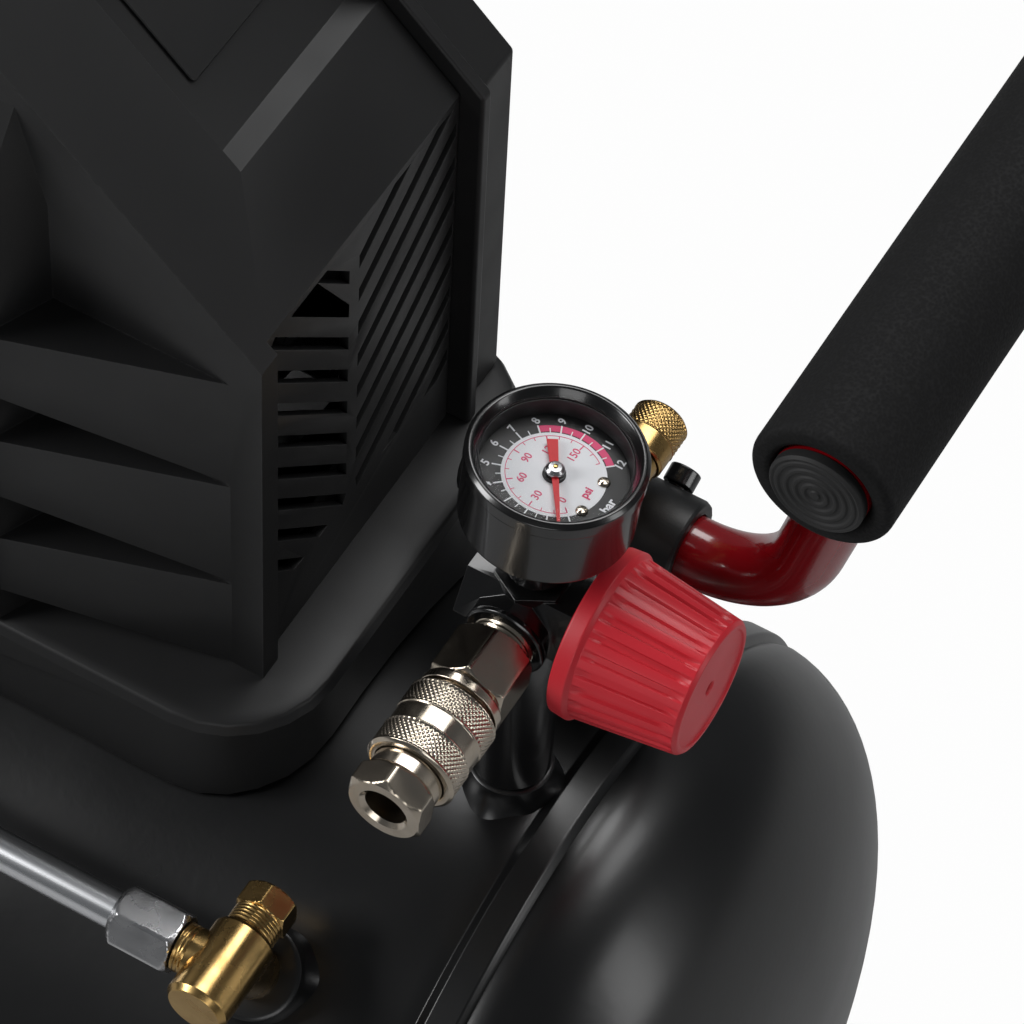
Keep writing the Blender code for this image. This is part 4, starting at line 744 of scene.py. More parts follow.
def fill_rows(profile: Profile, low: float, high: float, step: float) -> np.ndarray:
    """A profile with extra points between two heights, so that relief can follow it."""
    points = np.asarray(profile, dtype=float)
    made = [points[0]]
    for first, last in zip(points, points[1:]):
        span = abs(last[1] - first[1])
        meets = max(first[1], last[1]) > low and min(first[1], last[1]) < high
        count = max(1, math.ceil(span / step)) if meets else 1
        made += [first + (last - first) * k / count for k in range(1, count + 1)]
    return np.array(made)


# ---------------------------------------------------------------- putting pieces in


def commit(item: bpy.types.Object, finish: Finish, body: str, stands_for: Sequence[str] = (),
           axis: Optional[Place] = None) -> bpy.types.Object:
    """Dresses a piece and hands it to the frame.

    Args:
        item: The piece.
        finish: Its finish.
        body: The body that carries it.
        stands_for: Frame nodes that it replaces.
        axis: The axis of a turned piece.

    Returns:
        The same piece.
    """
    item.data.materials.clear()
    item.data.materials.append(finish.material(axis))
    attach(item, body)
    if stands_for:
        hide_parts(*stands_for)
    LOG.info("%s rides on %s in %s", item.name, body, finish.name)
    return item


def stand_in(item: bpy.types.Object, finish: Finish, node: str, axis: Optional[Place] = None,
             *others: str) -> bpy.types.Object:
    """Dresses a piece that replaces one node and rides on that node's body."""
    return commit(item, finish, BODY_OF[node], (node, *others), axis)


def dress(node: str, finish: Finish, axis: Optional[Place] = None) -> None:
    """Gives a frame node that stays in view its finish."""
    mesh = frame["nodes"][node].data
    mesh.materials.clear()
    mesh.materials.append(finish.material(axis))


@dataclass
class Tank:
    """The pressure vessel with its seams, weld beads and painted bosses."""

    radius: float = 130.0
    centre_z: float = -210.0
    left: float = -380.0
    right: float = 20.0
    dome: float = 60.0
    dome_power: float = 0.8
    seam: float = 9.0
    seam_height: float = 1.35
    riser_x: float = -3.0
    valve_spot: Spot = (-33.0, -88.0, -75.0)
    drain_x: float = -60.0
    steps: int = 192

    def dome_points(self, end: float, side: float, steps: int = 26) -> np.ndarray:
        """Dished end: radius falls as cos(a) to a power while X grows as sin(a)."""
        a = np.linspace(0.0, math.pi / 2.0, steps + 1)[1:]
        radius = self.radius * np.maximum(np.cos(a), 0.0) ** self.dome_power
        radius[-1] = 0.0
        return np.stack([radius, end + side * self.dome * np.sin(a)], axis=1)

    def seam_points(self, end: float, side: float) -> np.ndarray:
        """The lapped band beside a seam, with a joggle on its inner side."""
        r, h, w = self.radius, self.seam_height, self.seam
        outline = [(r - 0.9, end), (r + h, end + side * 1.6), (r + h, end + side * w),
                   (r - 0.55, end + side * (w + 2.4)), (r, end + side * (w + 7.0))]
        return rounded(outline, 0.9, 3)

    def shell(self) -> None:
        """The whole outer skin as one surface of revolution."""
        left = self.dome_points(self.left, -1.0)[::-1]
        right = self.dome_points(self.right, 1.0)
        left[-1, 0] = min(left[-1, 0], self.radius)
        middle = np.linspace(self.left + 30.0, self.right - 30.0, 12)
        barrel = np.stack([np.full_like(middle, self.radius), middle], axis=1)
        profile = np.concatenate([left, self.seam_points(self.left, 1.0), barrel,
                                  self.seam_points(self.right, -1.0)[::-1], right])
        place = Place((0.0, 0.0, self.centre_z), X_AXIS)
        item = revolve("tank_skin", profile, place, self.steps, sharp=40.0)
        stand_in(item, Finishes.TANK, "tank_shell")

    def skirt(self, name: str, place: Place, radius: float, foot: float, height: float, body: str) -> None:
        """A flared weld round a boss, with three soft lobes that run out onto the skin."""
        def beads(angle: np.ndarray, r: np.ndarray, h: np.ndarray) -> np.ndarray:
            """Radius of the flare with its lobes, strongest at the foot."""
            low = np.clip((height * 0.75 - h) / height, 0.0, 1.0)
            return r + low * (1.3 * np.sin(3.0 * angle + 0.4) + 0.4 * np.sin(7.0 * angle))
        share = np.linspace(0.0, 1.0, 15)
        flare = radius + (foot - radius) * (1.0 - share) ** 2.2
        rise = -7.0 + (height + 7.0) * share
        profile = [(0.0, -7.0), *zip(flare, rise), (radius - 1.2, height + 0.8), (0.0, height + 0.8)]
        item = revolve(name, profile, place, 144, beads, sharp=50.0)
        commit(item, Finishes.TANK, body)

    def valve_leg(self) -> Vector:
        """Unit vector from the tank's axis out through the check valve."""
        return Vector((0.0, self.valve_spot[1], self.valve_spot[2] - self.centre_z)).normalized()

    def valve_foot(self) -> Spot:
        """Where the valve's leg meets the skin."""
        spot = self.valve_leg() * self.radius
        return (self.valve_spot[0], spot.y, spot.z + self.centre_z)

    def build(self) -> None:
        """Makes the skin and its bosses."""
        self.shell()
        top = self.centre_z + self.radius
        self.skirt("riser_weld", Place((self.riser_x, 0.0, top)), 10.8, 19.0, 7.2, "chassis")
        leg = self.valve_leg()
        self.skirt("valve_weld", Place(self.valve_foot(), (leg.x, leg.y, leg.z)), 12.6, 19.0, 7.0, "chassis")
        under = Place((self.drain_x, 0.0, self.centre_z - self.radius), (0.0, 0.0, -1.0))
        self.skirt("drain_weld", under, 11.6, 16.0, 5.0, "chassis")


@dataclass
class Gauge:
    """The panel gauge: case, bezel, dial card with its printing, lens and pointer."""

    radius: float = 21.3
    floor: float = 32.7
    top: float = 57.2
    port_top: float = 12.0
    lean: Spot = (0.045, 0.078, 0.996)
    bore: float = 18.4
    dial_drop: float = 8.0
    white_r: float = 12.5
    ring_r: float = 19.4
    arc: tuple[float, float] = (12.8, 14.65)
    number_r: float = 16.15
    psi_r: float = 11.5
    psi_number_r: float = 7.7
    full_scale: float = 12.0
    sweep_degrees: float = 270.0
    psi_per_bar: float = 14.504
    heading: float = math.radians(-56.8)
    screws: tuple[tuple[float, float], ...] = ((10.8, 4.6), (10.7, -5.7))
    psi_word: tuple[float, float] = (9.0, -0.4)
    bar_word: tuple[float, float] = (15.1, -0.9)

    @property
    def place(self) -> Place:
        """The leaning axis, which crosses the manifold's axis at the top port."""
        foot = Vector((0.0, 0.0, self.port_top)) - Vector(self.lean).normalized() * self.port_top
        return Place(tuple(foot), self.lean)

    def round_piece(self, name: str, profile: Profile, steps: int = 128) -> bpy.types.Object:
        """A turned piece on the gauge's axis."""
        return revolve(name, profile, self.place, steps)

    @property
    def dial_z(self) -> float:
        """Height of the dial's face."""
        return self.top - self.dial_drop

    def direction(self, bar: float) -> np.ndarray:
        """Where a reading stands on the dial: zero lies 135 degrees to the left of the dial's top, -X."""
        turn = math.radians(-self.sweep_degrees / 2.0 + self.sweep_degrees * bar / self.full_scale)
        return np.array([-math.cos(turn), math.sin(turn)])

    def housing(self) -> None:
        """Pressed case with its neck, and the snap-on bezel with a rolled rim."""
        r, low, top = self.radius, self.floor, self.top
        neck = self.port_top + 1.1
        case = rounded([(7.5, neck), (7.5, 19.0), (6.2, 20.0), (6.2, low - 1.6), (r - 5.5, low - 0.4),
                        (r, low + 2.2), (r, top - 4.6), (r - 1.2, top - 4.6), (r - 1.2, self.dial_z - 1.6),
                        (2.4, self.dial_z - 1.6), (2.4, neck)], 1.6, 5, closed=True)
        stand_in(self.round_piece("gauge_case_fine", case), Finishes.GAUGE, "gauge_case")
        rim = rounded([(self.bore + 0.1, top - 4.9), (r + 0.6, top - 4.9), (r + 0.6, top - 1.1),
                       (r - 0.4, top),
                       (r - 1.3, top), (self.bore + 0.8, top - 1.2), (self.bore + 0.1, top - 2.4)], 0.7, 5,
                      closed=True)
        stand_in(self.round_piece("gauge_bezel_fine", rim), Finishes.GAUGE, "gauge_bezel")
        lip = rounded([(17.9, self.dial_z + 0.3), (19.4, self.dial_z + 0.3), (18.4, top - 2.7),
                       (18.1, top - 2.7)], 0.2, 3, closed=True)
        commit(self.round_piece("gauge_inner_lip", lip), Finishes.DIAL_BLACK, "chassis")
        lens = rounded([(0.0, top - 2.0), (self.bore + 0.3, top - 1.9), (self.bore + 0.3, top - 1.4),
                        (10.0, top - 1.3), (0.0, top - 1.28)], 0.2, 2)
        stand_in(self.round_piece("gauge_lens_fine", lens), Finishes.LENS, "gauge_lens")

    def flat_ring(self, inner: float, outer: float, z: float, first: float, last: float,
                  steps: int = 96) -> tuple[np.ndarray, np.ndarray]:
        """A thin printed ring between two readings, as verts and faces of a closed slab."""
        share = np.linspace(first, last, steps + 1)
        ways = np.stack([self.direction(b) for b in share])
        rings = [np.concatenate([ways * r, np.full((steps + 1, 1), h)], axis=1)
                 for r, h in ((inner, z), (outer, z), (outer, z - 0.04), (inner, z - 0.04))]
        return np.concatenate(rings), grid_faces(4, steps + 1, True, False)

    def stroke(self, bar: float, inner: float, outer: float, width: float,
               z: float) -> tuple[np.ndarray, np.ndarray]:
        """A scale mark: a thin bar from one radius to another at a reading."""
        ahead = self.direction(bar)
        side = np.array([-ahead[1], ahead[0]]) * width / 2.0
        plan = np.array([ahead * inner - side, ahead * outer - side, ahead * outer + side,
                         ahead * inner + side])
        return slab(plan, z)

    def card(self) -> None:
        """The dial: a black card, with a white disc laid in its middle."""
        z = self.dial_z
        black = self.round_piece("dial_card", [(2.2, z - 0.7), (self.ring_r, z - 0.7), (self.ring_r, z),
                                               (2.2, z)])
        stand_in(black, Finishes.DIAL_BLACK, "gauge_dial")
        white = self.round_piece("dial_white", [(2.2, z + 0.01), (self.white_r, z + 0.01),
                                                (self.white_r, z + 0.05), (2.2, z + 0.05)])
        commit(white, Finishes.DIAL_WHITE, "chassis")

    def print_scales(self) -> None:
        """Both scales, their numbers, the warning arc and the two unit words."""
        z = self.dial_z
        white, pink = [], []
        pink.append(self.flat_ring(*self.arc, z + 0.05, 8.0, 12.0))
        for half in range(int(self.full_scale) * 2 + 1):
            bar, major = half / 2.0, half % 2 == 0
            reach = 14.75 if major else 13.8
            white.append(self.stroke(bar, self.white_r - 0.05, reach, 0.36 if major else 0.25, z + 0.09))
            if major:
                spot = self.direction(bar) * self.number_r
                white.append(lettering(str(int(bar)), spot, 2.1, z + 0.08, 0.06))
        last_psi = 170
        pink.append(self.flat_ring(self.psi_r - 0.09, self.psi_r + 0.09, z + 0.09, 0.0,
                                   last_psi / self.psi_per_bar))
        for psi in range(0, last_psi + 1, 10):
            major = psi % 30 == 0
            inner = self.psi_r - (1.6 if major else 1.0)
            pink.append(self.stroke(psi / self.psi_per_bar, inner, self.psi_r, 0.30 if major else 0.2,
                                    z + 0.1))
            if major:
                spot = self.direction(psi / self.psi_per_bar) * self.psi_number_r
                pink.append(lettering(str(psi), spot, 2.0, z + 0.09, 0.03))
        pink.append(lettering("psi", np.array(self.psi_word), 2.1, z + 0.09, 0.09))
        white.append(lettering("bar", np.array(self.bar_word), 2.4, z + 0.08, 0.09))
        commit(self.printed("dial_print_white", white), Finishes.DIAL_WHITE, "chassis")
        commit(self.printed("dial_print_red", pink), Finishes.PINK_INK, "chassis")

    def printed(self, name: str, parts: Sequence[tuple[np.ndarray, Iterable]]) -> bpy.types.Object:
        """One object on the dial from many small meshes."""
        return make_object(name, *pooled(parts), self.place.matrix(), merge=2e-7)

    def fixings(self) -> None:
        """Two cross-recessed screws that hold the dial."""
        head = rounded([(0.0, 0.05), (1.55, 0.05), (1.55, 0.35), (1.1, 0.85), (0.0, 1.0)], 0.3, 4)

        def slots(angle: np.ndarray, r: np.ndarray, h: np.ndarray) -> np.ndarray:
            """A cross cut into the crown of the head."""
            arm = np.abs(np.sin(2.0 * angle)) < 0.35
            return np.where(arm & (h > 0.8) & (r > 0.2), r * 0.55, r)

        for label, (x, y) in zip(("a", "b"), self.screws):
            spot = self.place.turn() @ Vector((x, y, self.dial_z)) + Vector(self.place.at)
            place = Place(tuple(spot), self.lean)
            commit(revolve(f"dial_screw_{label}", fill_rows(head, 0.3, 1.0, 0.12), place, 48, slots, 50.0),
                   Finishes.NICKEL, "chassis", axis=place)

    def pointer(self) -> None:
        """Red pointer with a broad tail, on a plated hub with a brass pin."""
        low = self.top - 7.0
        ahead = np.array([math.cos(self.heading), math.sin(self.heading)])
        side = np.array([-ahead[1], ahead[0]])
        halves = [(-9.4, 1.35), (-2.0, 1.0), (2.0, 0.8), (15.9, 0.34), (16.2, 0.25)]
        plan = np.array([ahead * reach - side * half for reach, half in halves]
                        + [ahead * reach + side * half for reach, half in halves[::-1]])
        verts, faces = slab(plan, low + 0.5, 0.45)
        stand_in(make_object("pointer_blade", verts, faces, self.place.matrix()), Finishes.NEEDLE,
                 "gauge_needle")
        hub = rounded([(0.0, low - 1.2), (1.9, low - 1.2), (1.9, low + 0.5), (2.35, low + 0.7),
                       (2.35, low + 1.25), (1.6, low + 2.0), (0.0, low + 2.1)], 0.25, 4)
        commit(self.round_piece("pointer_hub", hub, 64), Finishes.STEEL, "gauge_pointer", axis=self.place)
        collar = [(0.0, low - 1.6), (2.9, low - 1.6), (2.7, low + 0.02), (0.0, low + 0.02)]
        commit(self.round_piece("pointer_collar", rounded(collar, 0.15, 2), 64), Finishes.SOCKET,
               "gauge_pointer")
        pin = rounded([(0.0, low + 1.9), (0.62, low + 1.9), (0.55, low + 2.45), (0.0, low + 2.5)], 0.15, 3)
        commit(self.round_piece("pointer_pin", pin, 32), Finishes.BRASS, "gauge_pointer", axis=self.place)

    def build(self) -> None:
        """Makes the whole gauge."""
        self.housing()
        self.card()
        self.print_scales()
        self.fixings()
        self.pointer()
        dress("bourdon_tube", Finishes.BRASS)


def slab(plan: np.ndarray, top: float, thick: float = 0.04) -> tuple[np.ndarray, list]:
    """A flat outline given a thickness, as verts and faces."""
    count = len(plan)
    upper = np.concatenate([plan, np.full((count, 1), top)], axis=1)
    lower = np.concatenate([plan, np.full((count, 1), top - thick)], axis=1)
    walls = [(k, (k + 1) % count, count + (k + 1) % count, count + k) for k in range(count)]
    return np.concatenate([upper, lower]), [tuple(range(count)), tuple(range(count, 2 * count))[::-1], *walls]


def lettering(text: str, centre: np.ndarray, height: float, z: float,
              weight: float) -> tuple[np.ndarray, list]:
    """Raised text whose baseline runs along +Y and whose top points to -X.

    Args:
        text: The characters.
        centre: The middle of the text on the dial.
        height: Height of a capital.
        z: Height of the text's face.
        weight: How much the strokes are thickened, in parts of the size.

    Returns:
        Verts and faces.
    """
    curve = bpy.data.curves.new("lettering", "FONT")
    curve.body = text
    curve.size = height * 1.38
    curve.offset = weight
    curve.extrude = 0.02
    curve.resolution_u = 3
    curve.align_x, curve.align_y = "CENTER", "CENTER"
    source = bpy.data.objects.new("lettering", curve)
    mesh = bpy.data.meshes.new_from_object(source)
    flat = np.empty(len(mesh.vertices) * 3)
    mesh.vertices.foreach_get("co", flat)
    flat = flat.reshape(-1, 3)
    placed = np.stack([centre[0] - flat[:, 1], centre[1] + flat[:, 0], z + flat[:, 2]], axis=1)
    faces = [tuple(face.vertices) for face in mesh.polygons]
    bpy.data.objects.remove(source)
    bpy.data.curves.remove(curve)
    bpy.data.meshes.remove(mesh)
    return placed, faces


def pooled(parts: Sequence[tuple[np.ndarray, Iterable]]) -> tuple[np.ndarray, list]:
    """The verts and faces of many small meshes as those of one."""
    verts, faces, start = [], [], 0
    for points, corners in parts:
        verts.append(points)
        faces += [tuple(int(c) + start for c in face) for face in corners]
        start += len(points)
    return np.concatenate(verts), faces


@dataclass
class Outlet:
    """Riser, manifold, regulator, quick coupler and safety valve."""

    riser_x: float = -3.0
    knob_flange: float = 22.2
    knob_radius: float = 21.0
    knob_nose: float = 17.5
    knob_end: float = 49.0
    rib_count: int = 26
    sleeve_radius: float = 11.8
    safety_end: float = 63.5
    nose_end: float = 69.8
    body_flats: float = 19.6
    nose_flats: float = 19.0

    def riser(self) -> None:
        """The painted pipe, with a hexagon under the manifold."""
        place = Place((self.riser_x, 0.0, 0.0))
        pipe = rounded([(6.5, -71.6), (10.2, -71.6), (10.2, -13.4), (6.5, -13.4)], 0.8, 3, closed=True)
        stand_in(revolve("riser_fine", pipe, place, 72), Finishes.FITTING, "riser_pipe")
        stand_in(softened("manifold", 0.9, 3), Finishes.FITTING, "manifold")

    def knob(self) -> None:
        """Ribbed red knob with a smooth flange and a sunk end face."""
        place = Place(along=X_AXIS)
        r, nose, end = self.knob_radius, self.knob_nose, self.knob_end
        outline = [(13.6, 16.0), (self.knob_flange - 0.4, 16.0), (self.knob_flange, 20.4), (r + 0.1, 21.6),
                   (nose + 0.35, end - 1.0), (nose - 0.6, end), (nose - 1.8, end), (nose - 2.0, end - 0.6),
                   (1.7, end - 0.6), (1.7, 45.0), (6.1, 45.0), (6.1, 40.0), (13.6, 37.0)]
        profile = fill_rows(rounded(outline, 0.7, 4, closed=True), 22.3, end - 2.0, 2.0)
        shape = ribs(self.rib_count, 0.85, 0.42, 22.6, end - 2.2, 1.2)

        def outside(angle: np.ndarray, radius: np.ndarray, height: np.ndarray) -> np.ndarray:
            """Ribs on the outer wall only."""
            return np.where(radius > nose - 0.5, shape(angle, radius, height), radius)
        item = revolve("regulator_knob_fine", profile, place, self.rib_count * 12, outside, sharp=55.0)
        stand_in(item, Finishes.KNOB, "regulator_knob")
        bonnet = rounded([(5.0, 14.3), (15.0, 14.3), (15.0, 15.7), (13.0, 15.7), (13.0, 30.0), (9.0, 30.0),
                          (9.0, 18.0), (5.0, 18.0)], 0.4, 3, closed=True)
        stand_in(revolve("regulator_bonnet_fine", bonnet, place, 72), Finishes.FITTING, "regulator_bonnet")
        dress("regulator_screw", Finishes.STEEL, place)
        dress("regulator_spring", Finishes.STEEL)

    def coupler(self) -> None:
        """Plated quick coupler: threaded nipple, hexagon, knurled sleeve, and a bored hexagon nose."""
        place = Place(along=FRONT)
        thread = rounded([(6.0, 14.1), (8.1, 14.1), (8.1, 17.4), (6.0, 17.4)], 0.3, 3, closed=True)
        collar = rounded([(6.0, 12.6), (10.8, 12.6), (10.8, 13.9), (10.2, 14.4), (6.0, 14.4)], 0.4, 3,
                         closed=True)
        commit(revolve("port_collar", collar, place, 72), Finishes.FITTING, "chassis")
        commit(revolve("coupler_nipple", fill_rows(thread, 14.3, 17.4, 0.12), place, 96,
                       threads(1.4, 0.45, 14.5, 17.2)), Finishes.NICKEL, "chassis", axis=place)
        corner = self.body_flats / 2.0 / math.cos(math.pi / 6.0)
        bar = [(6.0, 17.3), (9.0, 17.3), (9.5, 17.5), (corner + 0.1, 18.9), (corner + 0.1, 31.3), (9.4, 32.9),
               (9.1, 33.0), (9.1, 60.4), (7.3, 60.4), (7.3, 22.0), (6.0, 22.0)]
        body = fill_rows(bar, 17.4, 33.0, 0.3)
        stand_in(revolve("coupler_body_fine", body, place, 144, hexagon(self.body_flats)), Finishes.NICKEL,
                 "coupler_body",
                 place)
        lip = rounded([(9.15, 33.2), (10.5, 33.2), (10.9, 34.0), (10.9, 36.2), (9.15, 36.2)], 0.3, 3,
                      closed=True)
        commit(revolve("coupler_stop_ring", lip, place, 96), Finishes.NICKEL, "chassis", axis=place)
        self.sleeve(place)
        self.nose(place)
        dress("coupler_valve", Finishes.BRASS, place)
        dress("coupler_spring", Finishes.STEEL)

    def sleeve(self, place: Place) -> None:
        """Sliding sleeve with two knurled bands and a turned band between them."""
        r = self.sleeve_radius
        outline = [(9.4, 37.4), (r - 0.7, 37.4), (r, 38.0), (r, 44.9), (r - 0.35, 45.2), (r - 0.35, 50.0),
                   (r, 50.3), (r, 57.4), (r - 0.9, 58.0), (9.4, 58.0)]
        profile = fill_rows(rounded(outline, 0.18, 2, closed=True), 37.9, 57.5, 0.3)
        shape = diamond_knurl(54, 1.45, 0.42, ((38.3, 44.7), (50.5, 57.0)))

        def outside(angle: np.ndarray, radius: np.ndarray, height: np.ndarray) -> np.ndarray:
            """The knurl on the outer wall only."""
            return np.where(radius > r - 0.5, shape(angle, radius, height), radius)
        item = revolve("coupler_sleeve_fine", profile, place, 324, outside, sharp=75.0)
        stand_in(item, Finishes.NICKEL, "coupler_sleeve", place)

    def nose(self, place: Place) -> None:
        """Hexagon nose behind which the sleeve runs, with a chamfered bore."""
        corner = self.nose_flats / 2.0 / math.cos(math.pi / 6.0)
        end = self.nose_end
        outline = [(6.6, 58.4), (9.2, 58.4), (9.2, 62.0), (10.0, 63.0), (corner + 0.1, 63.8),
                   (corner + 0.1, end - 1.5), (9.3, end), (6.6, end), (5.5, end - 1.0), (5.5,
                                                                                         62.0), (6.6, 60.6)]
        profile = fill_rows(outline, 61.9, end, 0.35)
        item = revolve("coupler_nose_fine", profile, place, 144, hexagon(self.nose_flats))
        stand_in(item, Finishes.NICKEL, "coupler_nose", place)

    def safety(self) -> None:
        """Brass relief valve: hexagon, threaded barrel and knurled pull cap."""
        place = Place(along=Y_AXIS)
        corner = 14.0 / 2.0 / math.cos(math.pi / 6.0)
        outline = [(3.0, 14.4), (5.5, 14.4), (5.5, 14.9), (corner - 1.0, 15.0), (corner + 0.1, 16.0),
                   (corner + 0.1, 20.6), (corner - 1.0, 21.5), (6.4, 21.5), (6.4, self.safety_end - 14.6),
                   (3.0, self.safety_end - 14.6)]
        item = revolve("safety_body_fine", fill_rows(outline, 14.8, 21.6, 0.4), place, 144, hexagon(14.0))
        stand_in(item, Finishes.BRASS, "safety_valve", place)
        low, end = self.safety_end - 14.2, self.safety_end
        cap = [(0.0, low), (6.8, low), (7.3, low + 0.5), (7.3, end - 8.4), (7.5, end - 8.2), (7.5, end - 1.1),
               (6.5, end), (2.6, end), (2.2, end - 0.6), (0.0, end - 0.6)]
        knurled = fill_rows(rounded(cap, 0.35, 3), end - 8.3, end - 1.0, 0.25)
        shape = diamond_knurl(36, 1.35, 0.42, ((end - 8.0, end - 1.2),))
        item = revolve("safety_cap_fine", knurled, place, 240,
                       lambda a, r, h: np.where(r > 7.2, shape(a, r, h), r), sharp=70.0)
        stand_in(item, Finishes.BRASS, "safety_cap", place)
        stem = [(0.0, 32.0), (2.5, 32.0), (2.5, low + 0.2), (0.0, low + 0.2)]
        commit(revolve("safety_stem", stem, place, 32), Finishes.BRASS, "safety_pull", axis=place)

    def build(self) -> None:
        """Makes the outlet group."""
        self.riser()
        self.knob()
        self.coupler()
        self.safety()


@dataclass
class Handle:
    """Bent red stem in its clamping socket, with a foam grip on the crossbar."""

    y: float = 52.0
    socket_z: float = -29.5
    stem_radius: float = 9.0
    bend_x: float = 18.0
    bend_radius: float = 31.0
    angle: float = math.radians(77.0)
    bar_radius: float = 11.0
    bar_z: float = 162.0
    near: float = -46.0
    far: float = 150.0
    foam_radius: float = 16.82
    clamp_x: float = 5.5
    clamp_tilt: float = math.radians(20.0)

    @property
    def corner_x(self) -> float:
        """Where the two straight runs of the stem would meet."""
        return self.bend_x + self.bend_radius * math.tan(self.angle / 2.0)

    @property
    def bar_x(self) -> float:
        """The crossbar's place along X."""
        return self.corner_x + (self.bar_z - self.socket_z) / math.tan(self.angle)

    def stem(self) -> None:
        """The stem's two straight runs and its bend, and the bare crossbar inside the foam."""
        rise = (self.bar_x, self.y, self.bar_z)
        route = rounded([(-44.2, self.y, self.socket_z), (self.corner_x, self.y, self.socket_z), rise],
                        self.bend_radius, 28)
        straight = np.linspace(route[0], route[1], 6)[:-1]
        climb = np.linspace(route[-2], route[-1], 8)[1:]
        full = np.concatenate([straight, route[1:-1], climb[:-1], [climb[-1] * 0.98 + climb[-2] * 0.02]])
        stem = sweep("stem_enamel", full, self.stem_radius - 0.02, 48)
        stand_in(stem, Finishes.STEM, "handle_frame")
        place = Place((self.bar_x, 0.0, self.bar_z), Y_AXIS)
        bar = [(9.1, self.near + 2.0), (10.98, self.near + 2.0), (10.98, self.far - 2.0),
               (9.1, self.far - 2.0)]
        commit(revolve("crossbar_tube", bar, place, 64), Finishes.STEM, "handle")

    def grip(self) -> None:
        """Foam sleeve with soft ends and a slight unevenness, and the two ringed end plugs."""
        place = Place((self.bar_x, 0.0, self.bar_z), Y_AXIS)
        r, low, high = self.foam_radius, self.near + 1.0, self.far - 1.0
        outline = [(self.bar_radius + 0.35, low), (r, low), (r, high), (self.bar_radius + 0.35, high)]
        profile = fill_rows(rounded(outline, 2.2, 7, closed=True), low + 2.0, high - 2.0, 3.0)

        def uneven(angle: np.ndarray, radius: np.ndarray, height: np.ndarray) -> np.ndarray:
            """Slow waves of a tenth of a millimetre, always inwards."""
            wave = np.sin(3.0 * angle + height / 19.0) + np.sin(2.0 * angle - height / 31.0 + 1.0)
            return np.where(radius > r - 1.0, radius - 0.06 * (2.0 + wave), radius)
        foam = revolve("grip_foam_fine", profile, place, 128, uneven, sharp=60.0)
        stand_in(foam, Finishes.FOAM, "grip_foam")
        for label, end, side in (("front", self.near, 1.0), ("rear", self.far, -1.0)):
            self.plug(label, end, side)

    def plug(self, label: str, end: float, side: float) -> None:
        """End plug with four concentric ridges and a small boss."""
        place = Place((self.bar_x, end, self.bar_z), (0.0, side, 0.0))
        rings = [(0.0, -1.15), (1.0, -1.15), (1.3, -0.75)]
        for k in range(4):
            start = 2.0 + 2.1 * k
            rings += [(start, -0.75), (start + 0.45, -1.15), (start + 1.0, -1.15), (start + 1.4, -0.75)]
        rings += [(10.3, -1.15), (self.bar_radius, -0.5), (self.bar_radius, 1.7), (8.5, 1.7), (8.5, 11.5),
                  (8.0, 12.0), (0.0, 12.0)]
        item = revolve(f"grip_plug_{label}_fine", rounded(rings, 0.25, 3), place, 96, sharp=50.0)
        stand_in(item, Finishes.RUBBER, f"grip_plug_{label}")

    def socket(self) -> None:
        """Powder-coated socket and its clamp screw, with a hexagon key hole in the head."""
        stand_in(softened("handle_socket", 0.7, 3), Finishes.SOCKET, "handle_socket")
        out = (0.0, math.cos(self.clamp_tilt), math.sin(self.clamp_tilt))
        place = Place((self.clamp_x, self.y, self.socket_z), out)
        head = [(0.0, 9.4), (2.6, 9.4), (2.6, 12.95), (4.2, 12.95), (4.2, 17.8), (2.1, 17.8), (2.1, 15.4),
                (0.0, 15.4)]
        key = hexagon(3.7)

        def recess(angle: np.ndarray, radius: np.ndarray, height: np.ndarray) -> np.ndarray:
            """Six flats inside the key hole only."""
            return np.where((radius < 2.5) & (height > 15.2), key(angle, radius, height), radius)
        item = revolve("clamp_screw_fine", rounded(head, 0.45, 4), place, 96, recess, sharp=50.0)
        stand_in(item, Finishes.FITTING, "clamp_screw")

    def build(self) -> None:
        """Makes the handle."""
        self.stem()
        self.grip()
        self.socket()


